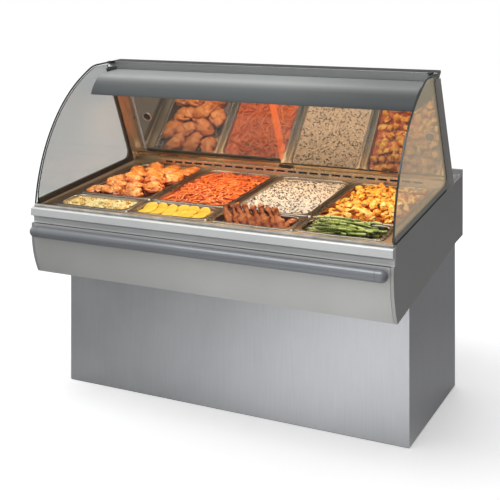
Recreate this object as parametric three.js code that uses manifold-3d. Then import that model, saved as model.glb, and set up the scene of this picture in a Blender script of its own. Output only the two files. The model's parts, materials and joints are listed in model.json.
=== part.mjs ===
// Heated serve-over display case: a closed pedestal carries a bowed cabinet with a sloping pan deck,
// a lift-up curved front glass, a lamp hood and two leaning mirror doors on the staff side.
// Millimetres, +Z up, customers at -Y. Origin: middle of the footprint, on the floor.
import * as THREE from 'three';
import { mergeVertices } from 'three/addons/utils/BufferGeometryUtils.js';
import Module from 'manifold-3d';

const wasm = await Module();
wasm.setup();

// ---------------------------------------------------------------- driving dimensions
// The cabinet frame has its zero at the front of the pan deck: Y to the back, Z up from the deck.
const DECK_HEIGHT = 757;         // floor to the front of the deck
const DECK_SETBACK = 398;        // from mid-depth forward to the front of the deck
const HALF_WIDTH = 725;          // outside of the side panels
const SIDE_THICKNESS = 12;
const INNER_HALF = HALF_WIDTH - SIDE_THICKNESS - 0.5;
const SHEET = 2;                 // folded sheet metal
const GAP = 0.4;                 // free play between neighbours
const DECK_TILT = 4.7;           // degrees, deck rises to the back
const DOOR_LEAN = 25.9;          // degrees, doors lean towards the customer
const PAN_PITCH = 337;           // standard pan width 325 plus a 12 mm bar
const PAN_WIDTH = 325;
const FULL_PAN = 530;
const THIRD_PAN = 176;
const PAN_ROW_GAP = 7;
const PAN_DEPTH = 65;
const DECK_LENGTH = THIRD_PAN + PAN_ROW_GAP + FULL_PAN;
const REST_ON_DECK = 6;          // pan flange resting on the deck edge
const PEDESTAL_HALF = 707;
const PEDESTAL_FRONT = 180;
const PEDESTAL_REAR = 855;
const CABINET_REAR = 913;
const GLASS = 6;
const HINGE = [508, 531];        // front glass hinge axis, (y, z)
const DOOR_FOOT = [722.9, 106];  // bottom front line of the doors, (y, z)
const DOOR_TOP = 416;            // door height up the lean
const FRONT_TRACK_DEPTH = 11.5;  // how far back the front door's track reaches
const POST_INNER = 668;          // inside face of the post block
const POST_WEB = 713;
const POST_OUTER = 720;
const POST_TOP = 512;
const HOOD_HALF = 690;
const KNOB_FACE = 886;           // outside of the recessed rear control panel
const SWITCH_THROW = 14;         // degrees between off and on
const SIDE_RISE = 0.094;         // climb of the side panels' top edge per millimetre of depth
const RAIL_RADIUS = 22;          // bumper rail
const PULL_HEIGHT = 188;         // finger pulls, up the lean from the foot of the doors
const LAMP_RADIUS = 40;
const FLOOR = -DECK_HEIGHT;

const radians = THREE.MathUtils.degToRad;

// ---------------------------------------------------------------- colours
const material = (color, roughness, metalness) =>
  new THREE.MeshStandardMaterial({ color, roughness, metalness });
const brushedSteel = material(0xb4b6ba, 0.35, 1);
const darkSteel = material(0x64645f, 0.4, 0.9);
const warmSatin = material(0xa9a8a3, 0.45, 0.8);
const paleAluminium = material(0xb9bbbd, 0.4, 0.9);
const blueGrey = material(0x73787c, 0.45, 0.1);
const blackRubber = material(0x141414, 0.8, 0);
const greyRubber = material(0x8d8b85, 0.7, 0);
const blackPlastic = material(0x1c1c1e, 0.5, 0);
const clearGlass = material(0xcfd6d4, 0.05, 0);
const smokedGlass = material(0x8f9696, 0.05, 0);
const mirrorGlass = material(0xd8d4cc, 0.04, 1);
const panSteel = material(0xc2bdb4, 0.25, 1);
const lampGlass = material(0xffd9a0, 0.2, 0);

// ---------------------------------------------------------------- shape helpers
const box = (x0, x1, y0, y1, z0, z1) =>
  new THREE.BoxGeometry(x1 - x0, y1 - y0, z1 - z0)
    .translate((x0 + x1) / 2, (y0 + y1) / 2, (z0 + z1) / 2);

// A path of straight and round legs in the (y, z) plane; headings in degrees from +Y towards +Z.
function bentPath(start, startHeading, legs) {
  const points = [start];
  let heading = startHeading;
  for (const leg of legs) {
    const [y, z] = points[points.length - 1];
    const angle = radians(heading);
    if (leg.length) {
      points.push([y + leg.length * Math.cos(angle), z + leg.length * Math.sin(angle)]);
      continue;
    }
    const side = Math.sign(leg.heading - heading) * leg.radius;
    const centre = [y - side * Math.sin(angle), z + side * Math.cos(angle)];
    for (let step = 1; step <= leg.steps; step += 1) {
      const turned = radians(heading + ((leg.heading - heading) * step) / leg.steps);
      points.push([centre[0] + side * Math.sin(turned), centre[1] - side * Math.cos(turned)]);
    }
    heading = leg.heading;
  }
  return points;
}

// The same path moved sideways; a positive distance is to the left of its direction.
function offsetPath(points, distance) {
  const normal = (a, b) => {
    const length = Math.hypot(b[0] - a[0], b[1] - a[1]);
    return [-(b[1] - a[1]) / length, (b[0] - a[0]) / length];
  };
  return points.map((point, index) => {
    const before = index > 0 ? normal(points[index - 1], point) : null;
    const after = index < points.length - 1 ? normal(point, points[index + 1]) : null;
    const [u, v] = [before ?? after, after ?? before];
    const stretch = distance / (1 + u[0] * v[0] + u[1] * v[1]);
    return [point[0] + stretch * (u[0] + v[0]), point[1] + stretch * (u[1] + v[1])];
  });
}

const sheetOutline = (path, thickness) => [...path, ...offsetPath(path, thickness).reverse()];

// A solid with an outline in the (y, z) plane, running along X.
function prism(outline, x0, x1) {
  const shape = new THREE.Shape(outline.map(([y, z]) => new THREE.Vector2(y, z)));
  const geometry = new THREE.ExtrudeGeometry(shape, { depth: x1 - x0, bevelEnabled: false });
  const axes = new THREE.Matrix4().makeBasis(
    new THREE.Vector3(0, 1, 0), new THREE.Vector3(0, 0, 1), new THREE.Vector3(1, 0, 0));
  return geometry.applyMatrix4(axes).translate(x0, 0, 0);
}

const cylinderX = (radius, x0, x1, y, z, sides = 16) =>
  new THREE.CylinderGeometry(radius, radius, x1 - x0, sides)
    .rotateZ(-Math.PI / 2).translate((x0 + x1) / 2, y, z);
const cylinderY = (radius, y0, y1, x, z, sides = 16) =>
  new THREE.CylinderGeometry(radius, radius, y1 - y0, sides).translate(x, (y0 + y1) / 2, z);

function toSolid(geometry) {
  const bare = geometry.clone();
  bare.deleteAttribute('normal');
  bare.deleteAttribute('uv');
  const merged = mergeVertices(bare, 1e-3);
  return new wasm.Manifold(new wasm.Mesh({
    numProp: 3,
    vertProperties: new Float32Array(merged.attributes.position.array),
    triVerts: new Uint32Array(merged.index.array),
  }));
}

function toGeometry(solid) {
  const mesh = solid.getMesh();
  const geometry = new THREE.BufferGeometry();
  geometry.setAttribute('position', new THREE.BufferAttribute(mesh.vertProperties, 3));
  geometry.setIndex(new THREE.BufferAttribute(mesh.triVerts, 1));
  const faceted = geometry.toNonIndexed();
  faceted.computeVertexNormals();
  return faceted;
}

function join(...geometries) {
  return toGeometry(geometries.map(toSolid).reduce((whole, piece) => whole.add(piece)));
}

function cut(geometry, ...tools) {
  return toGeometry(tools.map(toSolid).reduce((whole, tool) => whole.subtract(tool), toSolid(geometry)));
}

const mirrored = (geometry) => {
  const flipped = geometry.clone().applyMatrix4(new THREE.Matrix4().makeScale(-1, 1, 1));
  const { array } = flipped.index ?? {};
  if (array) {
    for (let i = 0; i < array.length; i += 3) [array[i], array[i + 1]] = [array[i + 1], array[i]];
  } else {
    const bare = flipped.attributes.position.array;
    for (let i = 0; i < bare.length; i += 9) {
      for (let k = 0; k < 3; k += 1) [bare[i + k], bare[i + 3 + k]] = [bare[i + 3 + k], bare[i + k]];
    }
  }
  flipped.computeVertexNormals();
  return flipped;
};

function add(parent, name, geometry, finish) {
  const mesh = new THREE.Mesh(geometry, finish);
  mesh.name = name;
  parent.add(mesh);
}

function addPair(parent, name, rightGeometry, finish) {
  add(parent, `${name}_right`, rightGeometry, finish);
  add(parent, `${name}_left`, mirrored(rightGeometry), finish);
}

// ---------------------------------------------------------------- frames
const displayCase = new THREE.Group();
const cabinet = new THREE.Group();
cabinet.position.set(0, -DECK_SETBACK, DECK_HEIGHT);
displayCase.add(cabinet);

const deck = new THREE.Group();
deck.rotation.x = radians(DECK_TILT);
cabinet.add(deck);

const doorway = new THREE.Group();
doorway.position.set(0, ...DOOR_FOOT);
doorway.rotation.x = radians(DOOR_LEAN);
cabinet.add(doorway);

// Lines that several pieces share, in the cabinet frame.
const sideTop = (y) => 2 + (y + 48) * SIDE_RISE;
const leanY = (depth, z) =>
  DOOR_FOOT[0] + depth / Math.cos(radians(DOOR_LEAN)) - (z - DOOR_FOOT[1]) * Math.tan(radians(DOOR_LEAN));
const onLean = (depth, z) => [leanY(depth, z), z];
// The point of a leaning line that stands a given height above the side panels.
function leanAboveSide(depth, height) {
  let z = sideTop(leanY(depth, 100)) + height;
  for (let pass = 0; pass < 20; pass += 1) z = sideTop(leanY(depth, z)) + height;
  return onLean(depth, z);
}

// A point given square to the doors and up their lean, in the cabinet frame.
function inDoorway(depth, height) {
  const [cosine, sine] = [Math.cos(radians(DOOR_LEAN)), Math.sin(radians(DOOR_LEAN))];
  return [DOOR_FOOT[0] + depth * cosine - height * sine, DOOR_FOOT[1] + depth * sine + height * cosine];
}

const bellyPath = bentPath([-71, -65], -95, [{ radius: 337, heading: -60, steps: 10 }]);
const bellyFoot = bellyPath[bellyPath.length - 1];
const bottomRear = [806, -161];
const rearFoot = [CABINET_REAR, -156];
const undersideZ = (y) => bellyFoot[1] +
  ((bottomRear[1] - bellyFoot[1]) * (y - bellyFoot[0])) / (bottomRear[0] - bellyFoot[0]);
const glassPath = bentPath([-56, 8], 83, [
  { radius: 620, heading: 26, steps: 14 },
  { length: 45 },
  { radius: 200, heading: 3, steps: 4 },
  { length: 95 },
]);

// ---------------------------------------------------------------- pedestal
function buildPedestal() {
  const top = (y) => undersideZ(y) - 0.5;
  const ahead = PEDESTAL_FRONT - 50;
  const rearTop = top(bottomRear[0]);
  const above = prism([[ahead, top(ahead)], [bottomRear[0], rearTop], [CABINET_REAR, rearTop],
    [CABINET_REAR, 0], [ahead, 0]], -HALF_WIDTH, HALF_WIDTH);
  const lift = 2;
  const wall = box(-PEDESTAL_HALF, PEDESTAL_HALF, PEDESTAL_FRONT, PEDESTAL_REAR, FLOOR + lift, -100);
  const inside = box(-PEDESTAL_HALF + SHEET, PEDESTAL_HALF - SHEET,
    PEDESTAL_FRONT + SHEET, PEDESTAL_REAR + SHEET, FLOOR, 0);
  add(cabinet, 'pedestal_skirt', cut(wall, inside, above), brushedSteel);

  const reach = PEDESTAL_HALF - SHEET - GAP;
  const back = box(-reach, reach, PEDESTAL_REAR - SHEET, PEDESTAL_REAR, FLOOR + lift, rearTop - 1);
  add(cabinet, 'pedestal_rear_panel', back, brushedSteel);

  const tube = 30;
  const front = PEDESTAL_FRONT + SHEET + GAP;
  const rear = PEDESTAL_REAR - SHEET - GAP;
  const side = (x0, x1) => {
    const outer = prism([[front, FLOOR], [rear, FLOOR], [rear, rearTop - 1],
      [bottomRear[0], rearTop - 1], [front, top(front) - 1]], x0, x1);
    const hole = prism([[front + tube, FLOOR + tube], [rear - tube, FLOOR + tube],
      [rear - tube, top(rear - tube) - 1 - tube], [front + tube, top(front + tube) - 1 - tube]],
    x0 - 1, x1 + 1);
    return cut(outer, hole);
  };
  const rail = (y, z) => box(-reach + 1, reach - 1, y, y + tube, z, z + tube);
  add(cabinet, 'pedestal_frame', join(
    side(reach - tube, reach), side(-reach, -reach + tube),
    rail(front, FLOOR), rail(rear - tube, FLOOR),
    rail(front, top(front) - tube - 1), rail(rear - tube, rearTop - tube - 1),
  ), darkSteel);
}

// ---------------------------------------------------------------- cabinet body
function buildBody() {
  const sideOutline = [
    ...bellyPath, bottomRear, rearFoot, [CABINET_REAR, sideTop(CABINET_REAR)],
    [-43, sideTop(-43)], [-43, -65],
  ];
  const x0 = HALF_WIDTH - SIDE_THICKNESS;
  const pocket = prism([[-20, -200], [780, -140], [895, -138], [895, 70], [-20, -15]],
    x0 - 1, HALF_WIDTH - 3);
  addPair(cabinet, 'side_panel', cut(prism(sideOutline, x0, HALF_WIDTH), pocket), darkSteel);

  add(cabinet, 'front_fascia', prism(sheetOutline(bellyPath, SHEET), -INNER_HALF, INNER_HALF), warmSatin);

  const sill = [[-72, -3], [-77, -8], [-79, -34], [-61, -39], [-57, -45], [-57, -59],
    [-61, -64.5], [-45, -64.5], [-45, -3.5]];
  add(cabinet, 'front_sill', prism(sill, -HALF_WIDTH + 1, HALF_WIDTH - 1), paleAluminium);
  const seal = [[-60, -2.4], [-61, 3], [-57, 6.8], [-49, 6.8], [-47, 3], [-47, -2.4]];
  add(cabinet, 'front_glass_seal', prism(seal, -POST_OUTER, POST_OUTER), greyRubber);

  const railY = -95;
  const railZ = -91;
  const flatBack = -73.8;
  const straight = 690;
  const dome = new THREE.LatheGeometry([
    new THREE.Vector2(0, -5), new THREE.Vector2(RAIL_RADIUS, -5),
    ...[0, 1, 2, 3, 4].map((i) => new THREE.Vector2(
      RAIL_RADIUS * Math.cos((i * Math.PI) / 10), RAIL_RADIUS * Math.sin((i * Math.PI) / 10))),
    new THREE.Vector2(0, RAIL_RADIUS),
  ], 20).rotateZ(-Math.PI / 2).translate(straight, railY, railZ);
  const bar = join(cylinderX(RAIL_RADIUS, -straight, straight, railY, railZ, 20), dome, mirrored(dome));
  const behind = box(-HALF_WIDTH, HALF_WIDTH, flatBack, flatBack + 40, railZ - 40, railZ + 40);
  add(cabinet, 'bumper_rail', cut(bar, behind), blueGrey);

  const lift = 3;
  const underside = [[bellyFoot[0] + 4, undersideZ(bellyFoot[0] + 4)], bottomRear, [KNOB_FACE, -157]]
    .map(([y, z]) => [y, z + lift]);
  add(cabinet, 'underside_panel', prism(sheetOutline(underside, SHEET), -INNER_HALF, INNER_HALF), darkSteel);

  const lipTop = 114;
  const upstandFront = CABINET_REAR - SIDE_THICKNESS;
  const onSides = (y) => [y, sideTop(y) + 1.5];      // level with the side panels' top edges
  const shelfPath = [inDoorway(4.5, -8.6), inDoorway(27, -8.6), onSides(768), onSides(897),
    [upstandFront - SHEET, lipTop - 1.4], [CABINET_REAR, lipTop]];
  const upstand = box(-HALF_WIDTH, HALF_WIDTH, upstandFront, CABINET_REAR,
    sideTop(CABINET_REAR) + GAP, lipTop);
  add(cabinet, 'rear_shelf', join(
    prism(sheetOutline(shelfPath, -SHEET), -INNER_HALF, INNER_HALF), upstand), brushedSteel);
}

// ---------------------------------------------------------------- pan deck
// Inside this group Y runs up the sloping deck and Z is square to it.
const columns = [-1.5, -0.5, 0.5, 1.5].map((step) => step * PAN_PITCH);
const PAN_FIELD = 1.5 * PAN_PITCH + PAN_WIDTH / 2;

function buildDeck() {
  const edgeX = PAN_FIELD - REST_ON_DECK;
  const edgeFront = REST_ON_DECK;
  const edgeRear = DECK_LENGTH - REST_ON_DECK;
  const top = box(-INNER_HALF, INNER_HALF, -44, DECK_LENGTH + 1, -SHEET, 0);
  add(deck, 'deck_frame', cut(top, box(-edgeX, edgeX, edgeFront, edgeRear, -20, 20)), panSteel);

  const wall = 20;
  const flange = -10.5;
  const floorZ = -112;
  const outer = box(-edgeX - wall, edgeX + wall, edgeFront - wall, edgeRear + wall - 8, floorZ, flange);
  const cavity = box(-edgeX, edgeX, edgeFront, edgeRear, floorZ + SHEET, 10);
  const groove = box(-edgeX - wall + SHEET, edgeX + wall - SHEET,
    edgeFront - wall + SHEET, edgeRear + wall - 8 - SHEET, floorZ + SHEET, flange - SHEET);
  add(deck, 'well_tub', cut(outer, cavity, groove), panSteel);

  const barHalf = 12;
  const barDepth = 10;
  const lapHalf = THIRD_PAN + PAN_ROW_GAP / 2;
  const crossHalf = 8.5;
  for (const index of [1, 2, 3]) {
    const x = (index - 2) * PAN_PITCH;
    const bar = join(
      box(x - barHalf, x + barHalf, edgeFront + GAP, edgeRear - GAP, -barDepth, 0),
      box(x - barHalf + 3, x + barHalf - 3, edgeFront - 12, edgeRear + 5, -barDepth, -SHEET - 0.5));
    const lap = box(x - 30, x + 30, lapHalf - crossHalf - GAP, lapHalf + crossHalf + GAP, -20, -5);
    add(deck, `divider_bar_${index}`, cut(bar, lap), panSteel);
  }
  const cross = box(-edgeX - 14, edgeX + 14, lapHalf - crossHalf, lapHalf + crossHalf, -barDepth, 0);
  const notches = [-1, 0, 1].map((step) => box(step * PAN_PITCH - barHalf - GAP,
    step * PAN_PITCH + barHalf + GAP, lapHalf - 20, lapHalf + 20, -5 - GAP, 5));
  const end = box(edgeX - GAP, edgeX + 30, lapHalf - 20, lapHalf + 20, -SHEET - 0.5, 5);
  add(deck, 'cross_bar', cut(cross, ...notches, end, mirrored(end)), panSteel);

  const elementZ = -92;
  const reach = 590;
  const path = new THREE.CurvePath();
  const lanes = [60, 220, 380, 540, 650];
  lanes.forEach((lane, index) => {
    const to = index % 2 === 0 ? reach : -reach;
    path.add(new THREE.LineCurve3(
      new THREE.Vector3(-to, lane, elementZ), new THREE.Vector3(to, lane, elementZ)));
    if (index === lanes.length - 1) return;
    const next = lanes[index + 1];
    const turn = (next - lane) * 0.6 * Math.sign(to);
    path.add(new THREE.CubicBezierCurve3(
      new THREE.Vector3(to, lane, elementZ), new THREE.Vector3(to + turn, lane, elementZ),
      new THREE.Vector3(to + turn, next, elementZ), new THREE.Vector3(to, next, elementZ)));
  });
  const round = new THREE.Shape().absarc(0, 0, 5, 0, Math.PI * 2);
  add(deck, 'heater_element', new THREE.ExtrudeGeometry(round, {
    steps: 60, curveSegments: 3, bevelEnabled: false, extrudePath: path,
  }), darkSteel);
}

// One corner-rounded ring of a pan, as points around the loop.
function panRing(halfX, halfY, corner, z, steps = 3) {
  const ring = [];
  for (const [sx, sy, start] of [[1, 1, 0], [-1, 1, 90], [-1, -1, 180], [1, -1, 270]]) {
    for (let i = 0; i <= steps; i += 1) {
      const angle = radians(start + (90 * i) / steps);
      ring.push([
        sx * (halfX - corner) + corner * Math.cos(angle),
        sy * (halfY - corner) + corner * Math.sin(angle), z]);
    }
  }
  return ring;
}

// Skins a stack of equal rings and closes both ends with a fan.
function loft(rings) {
  const count = rings[0].length;
  const positions = rings.flat(2);
  const index = [];
  for (let level = 0; level < rings.length - 1; level += 1) {
    for (let i = 0; i < count; i += 1) {
      const next = (i + 1) % count;
      const a = level * count + i;
      const b = level * count + next;
      index.push(a, a + count, b, b, a + count, b + count);
    }
  }
  const fan = (level, flip) => {
    positions.push(0, 0, rings[level][0][2]);
    const centre = positions.length / 3 - 1;
    for (let i = 0; i < count; i += 1) {
      const a = level * count + i;
      const b = level * count + ((i + 1) % count);
      index.push(centre, ...(flip ? [b, a] : [a, b]));
    }
  };
  fan(0, false);
  fan(rings.length - 1, true);
  const geometry = new THREE.BufferGeometry();
  geometry.setAttribute('position', new THREE.Float32BufferAttribute(positions, 3));
  geometry.setIndex(index);
  geometry.computeVertexNormals();
  return geometry;
}

function panGeometry(length) {
  const x = PAN_WIDTH / 2;
  const y = length / 2;
  const gauge = 1.2;
  const floor = 4 - PAN_DEPTH;
  const lip = 13;
  return loft([
    panRing(x - 34, y - 34, 20, floor),
    panRing(x - 24, y - 24, 30, floor + 8),
    panRing(x - lip - 2, y - lip - 2, 40, 2),
    panRing(x - lip, y - lip, 42, 4),
    panRing(x - 2.5, y - 2.5, 18, 4),
    panRing(x, y, 20, 2),
    panRing(x, y, 20, 0.5),
    panRing(x - gauge, y - gauge, 19, 0.5),
    panRing(x - gauge - 1, y - gauge - 1, 18, 4 - gauge),
    panRing(x - lip + gauge, y - lip + gauge, 42, 4 - gauge - 1),
    panRing(x - 24 + gauge, y - 24 + gauge, 30, floor + 8 - gauge),
    panRing(x - 34 + gauge, y - 34 + gauge, 20, floor - gauge),
  ]);
}

function buildPans() {
  const thirdPan = panGeometry(THIRD_PAN);
  const fullPan = panGeometry(FULL_PAN);
  columns.forEach((x, index) => {
    add(deck, `third_pan_${index + 1}`, thirdPan.clone().translate(x, THIRD_PAN / 2, 0), panSteel);
    const y = THIRD_PAN + PAN_ROW_GAP + FULL_PAN / 2;
    add(deck, `full_pan_${index + 1}`, fullPan.clone().translate(x, y, 0), panSteel);
  });
}

function buildLedge() {
  const path = [[714, 50], inDoorway(-13.8, -10.8), inDoorway(2, -10.8)];
  const slots = [];
  const slotLength = 36;
  const slotZ = [75, 83];
  const slotPitch = 48.6;
  const groupPitch = 295;
  const firstSlot = 38;          // the groups stand a little off centre
  for (let group = -2; group < 2; group += 1) {
    for (let slot = 0; slot < 6; slot += 1) {
      const x = firstSlot + group * groupPitch + slot * slotPitch;
      slots.push(box(x, x + slotLength, 700, 730, ...slotZ));
    }
  }
  const ledge = prism(sheetOutline(path, SHEET), -INNER_HALF, INNER_HALF);
  add(cabinet, 'rear_ledge', cut(ledge, ...slots), panSteel);
}

// ---------------------------------------------------------------- rear control panel
function buildControls() {
  const rearWall = box(-INNER_HALF, INNER_HALF, KNOB_FACE - SHEET, KNOB_FACE, -150, 88);
  const knobZ = -30;
  const knobs = { knob_lamp_heat: 470, knob_well_heat: 590 };
  const switches = { switch_power: 250, switch_light: 330 };
  const rockerHalf = [11, 15];
  const holes = [
    ...Object.values(knobs).map((x) => cylinderY(4.8, KNOB_FACE - 10, KNOB_FACE + 10, x, knobZ)),
    ...Object.values(switches).map((x) => box(x - rockerHalf[0] - 0.6, x + rockerHalf[0] + 0.6,
      KNOB_FACE - 10, KNOB_FACE + 10, knobZ - rockerHalf[1] - 2, knobZ + rockerHalf[1] + 2)),
  ];
  add(cabinet, 'rear_panel', cut(rearWall, ...holes), brushedSteel);

  for (const [name, x] of Object.entries(knobs)) {
    const dial = new THREE.LatheGeometry([
      [0, -14], [4, -14], [4, 0.8], [21, 0.8], [21, 4], [17, 7], [15.5, 20], [13, 22], [0, 22],
    ].map(([r, y]) => new THREE.Vector2(r, y)), 24).translate(x, KNOB_FACE, knobZ);
    const pointer = box(x - 1.5, x + 1.5, KNOB_FACE + 21, KNOB_FACE + 23, knobZ + 2, knobZ + 12);
    add(cabinet, name, join(dial, pointer), blackPlastic);
  }
  for (const [name, x] of Object.entries(switches)) {
    const rocker = prism([[-8, -9], [1, -14.5], [4, -14.5], [2, 0], [4, 14.5], [1, 14.5], [-8, 9]],
      x - rockerHalf[0], x + rockerHalf[0])
      .rotateX(-radians(SWITCH_THROW / 2)).translate(0, KNOB_FACE, knobZ);
    add(cabinet, name, rocker, blackPlastic);
  }

  const cablePath = new THREE.CatmullRomCurve3([
    [600, 870, -165], [600, 874, -260], [612, 884, -420], [606, 880, -560], [600, 882, -640],
  ].map(([x, y, z]) => new THREE.Vector3(x, y, z)));
  const round = new THREE.Shape().absarc(0, 0, 4.5, 0, Math.PI * 2);
  const cable = new THREE.ExtrudeGeometry(round, {
    steps: 24, curveSegments: 4, bevelEnabled: false, extrudePath: cablePath,
  });
  const plug = new THREE.LatheGeometry([
    [0, 0], [16, 0], [22, 6], [22, 34], [14, 44], [9, 62], [0, 62],
  ].map(([r, y]) => new THREE.Vector2(r, y)), 16).rotateX(Math.PI / 2).translate(600, 882, -690);
  add(cabinet, 'power_cable', join(cable, plug), blackRubber);
}

// ---------------------------------------------------------------- glass and its supports
const endGlassX = [712, 718];

function endGlassOutline(extra) {
  const inner = offsetPath(glassPath, -(GLASS + 2.5));
  const rearDepth = -38 + extra;
  const bottom = 8 - extra;
  const last = inner.findIndex(([y, z]) => y > leanY(rearDepth, z) - 6);
  const front = inner.slice(0, last).filter(([y, z]) => z > sideTop(y) + bottom + 4);
  const frontFoot = [front[0][0] - 1.5, sideTop(front[0][0]) + bottom];
  const topZ = front[front.length - 1][1] + 1;
  return [frontFoot, leanAboveSide(rearDepth, bottom), onLean(rearDepth, topZ), ...front.reverse()];
}

function buildGlass() {
  const [x0, x1] = endGlassX;
  addPair(cabinet, 'end_glass', prism(endGlassOutline(0), x0, x1), smokedGlass);

  const bandHeight = 22;
  const bandInner = -48;
  const bandOuter = -31 - GAP;
  const corner = 30;
  const knee = leanAboveSide(bandInner, bandHeight);
  const frontY = -38;
  const topZ = 505;
  const up = 90 + DOOR_LEAN;
  const along = THREE.MathUtils.radToDeg(Math.atan(SIDE_RISE));
  const setback = corner * Math.tan(radians((up - along) / 2));
  const cornerStart = [
    knee[0] - setback * Math.cos(radians(along)), knee[1] - setback * Math.sin(radians(along))];
  const inner = bentPath(cornerStart, along, [{ radius: corner, heading: up, steps: 5 }]);
  const outline = [
    [frontY, sideTop(frontY) + 0.5], leanAboveSide(bandOuter, 0.5), onLean(bandOuter, topZ),
    onLean(bandInner, topZ), ...inner.reverse(), [frontY, sideTop(frontY) + bandHeight],
  ];
  const channel = prism(outline, 709.5, 721);
  const slot = prism(endGlassOutline(GAP), x0 - GAP, x1 + GAP);
  addPair(cabinet, 'end_channel', cut(channel, slot), blackRubber);

  const web = prism([leanAboveSide(-31, 0.6), leanAboveSide(38.5, 0.6),
    onLean(38.5, POST_TOP), onLean(-31, POST_TOP)], POST_WEB, POST_OUTER);
  const block = prism([onLean(12, 115), onLean(38.5, 115), onLean(38.5, POST_TOP), onLean(12, POST_TOP)],
    POST_INNER, POST_OUTER - 1);
  addPair(cabinet, 'post', join(web, block), paleAluminium);

  const railFront = 518;
  const rail = [[railFront, POST_TOP + 0.6], [railFront, 535], [524, 537], [588, 541], [592, 537], [592, 529],
    [576, 520], [574, POST_TOP + 0.6]];
  const hoodFlange = box(-HOOD_HALF, HOOD_HALF, railFront, 524, 502, POST_TOP + 1);
  add(cabinet, 'top_rail', join(prism(rail, -POST_OUTER + 5, POST_OUTER - 5), hoodFlange), paleAluminium);

  add(cabinet, 'front_glass', prism(sheetOutline(glassPath, -GLASS), -POST_OUTER, POST_OUTER), clearGlass);
}

function buildGlassHinge() {
  const [y, z] = HINGE;
  const jawX = [694, 708];
  const armX = [709.4, 714];
  const jawWall = 4;
  const jawLength = 34;
  const eye = 7;
  const pin = 3;
  const armRadius = 6;           // stays inside the sweep of the glass edge, 7.8 from the axis
  const [edgeY, edgeZ] = glassPath[glassPath.length - 1];
  const drop = 60 * Math.tan(radians(3));
  const jaw = cut(
    join(
      box(...jawX, edgeY - jawLength, edgeY + 1.5, edgeZ - GLASS - jawWall - GAP, edgeZ + jawWall - GAP),
      cylinderX(eye, ...jawX, y, z)),
    prism([[edgeY - 60, edgeZ - drop + GAP], [edgeY + GAP, edgeZ + GAP],
      [edgeY + GAP, edgeZ - GLASS - GAP], [edgeY - 60, edgeZ - GLASS - drop - GAP]], 690, 712),
    cylinderX(pin + 0.8, 690, 712, y, z));
  addPair(cabinet, 'glass_clamp', jaw, blackPlastic);

  const arm = join(
    cylinderX(armRadius, ...armX, y, z),
    box(...armX, y, 517.4, z - armRadius, z + armRadius),
    box(armX[0], 723, 515, 517.5, POST_TOP + 2, z + 2),
    cylinderX(pin, jawX[0] - 3, armX[1] - 1, y, z),
    cylinderX(armRadius + 0.2, armX[1] - 1, 722, y, z));
  addPair(cabinet, 'hinge_bracket', arm, darkSteel);
}

// ---------------------------------------------------------------- leaning doors and their tracks
// Inside this group Z runs up the lean and Y is square to the doors.
function buildDoors() {
  const split = FRONT_TRACK_DEPTH;
  const trackBody = (z0, z1) => join(
    box(-INNER_HALF + 1, INNER_HALF - 1, -6, split, z0, z1),
    box(-POST_INNER + 1, POST_INNER - 1, split - 1, 26, z0, z1));
  const grooves = (z0, z1) => [
    box(-HALF_WIDTH, HALF_WIDTH, -3, 8, z0, z1), box(-HALF_WIDTH, HALF_WIDTH, 12, 23, z0, z1)];
  add(doorway, 'door_track_bottom', cut(trackBody(-8, 6), ...grooves(-4, 10)), paleAluminium);
  add(doorway, 'door_track_top', cut(trackBody(405, 425), ...grooves(400, 419)), paleAluminium);

  const doors = [
    { side: 'right', x0: 5, x1: 708, y: 0, pull: 661, shoeTop: 9 },
    { side: 'left', x0: -660, x1: 40, y: 15, pull: -614, shoeTop: 14 },
  ];
  for (const { side, x0, x1, y, pull, shoeTop } of doors) {
    const pane = cut(box(x0, x1, y, y + 5, 0, DOOR_TOP), cylinderY(19, y - 5, y + 10, pull, PULL_HEIGHT, 24));
    add(doorway, `mirror_door_${side}`, pane, mirrorGlass);
    const shoe = cut(box(x0 + 1, x1 - 1, y - 2, y + 7, -3.4, shoeTop),
      box(x0 - 5, x1 + 5, y - GAP, y + 5 + GAP, -GAP, shoeTop + 5));
    add(doorway, `door_shoe_${side}`, shoe, blackPlastic);
    const cup = new THREE.LatheGeometry([
      [0, 5.2], [17, 5.2], [17.5, -2.4], [22, -2.4], [22, -0.4], [18.6, -0.4], [18.6, 7], [0, 7],
    ].map(([r, depth]) => new THREE.Vector2(r, depth)), 24).translate(pull, y, PULL_HEIGHT);
    add(doorway, `door_pull_${side}`, cup, darkSteel);
  }
}

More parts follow.
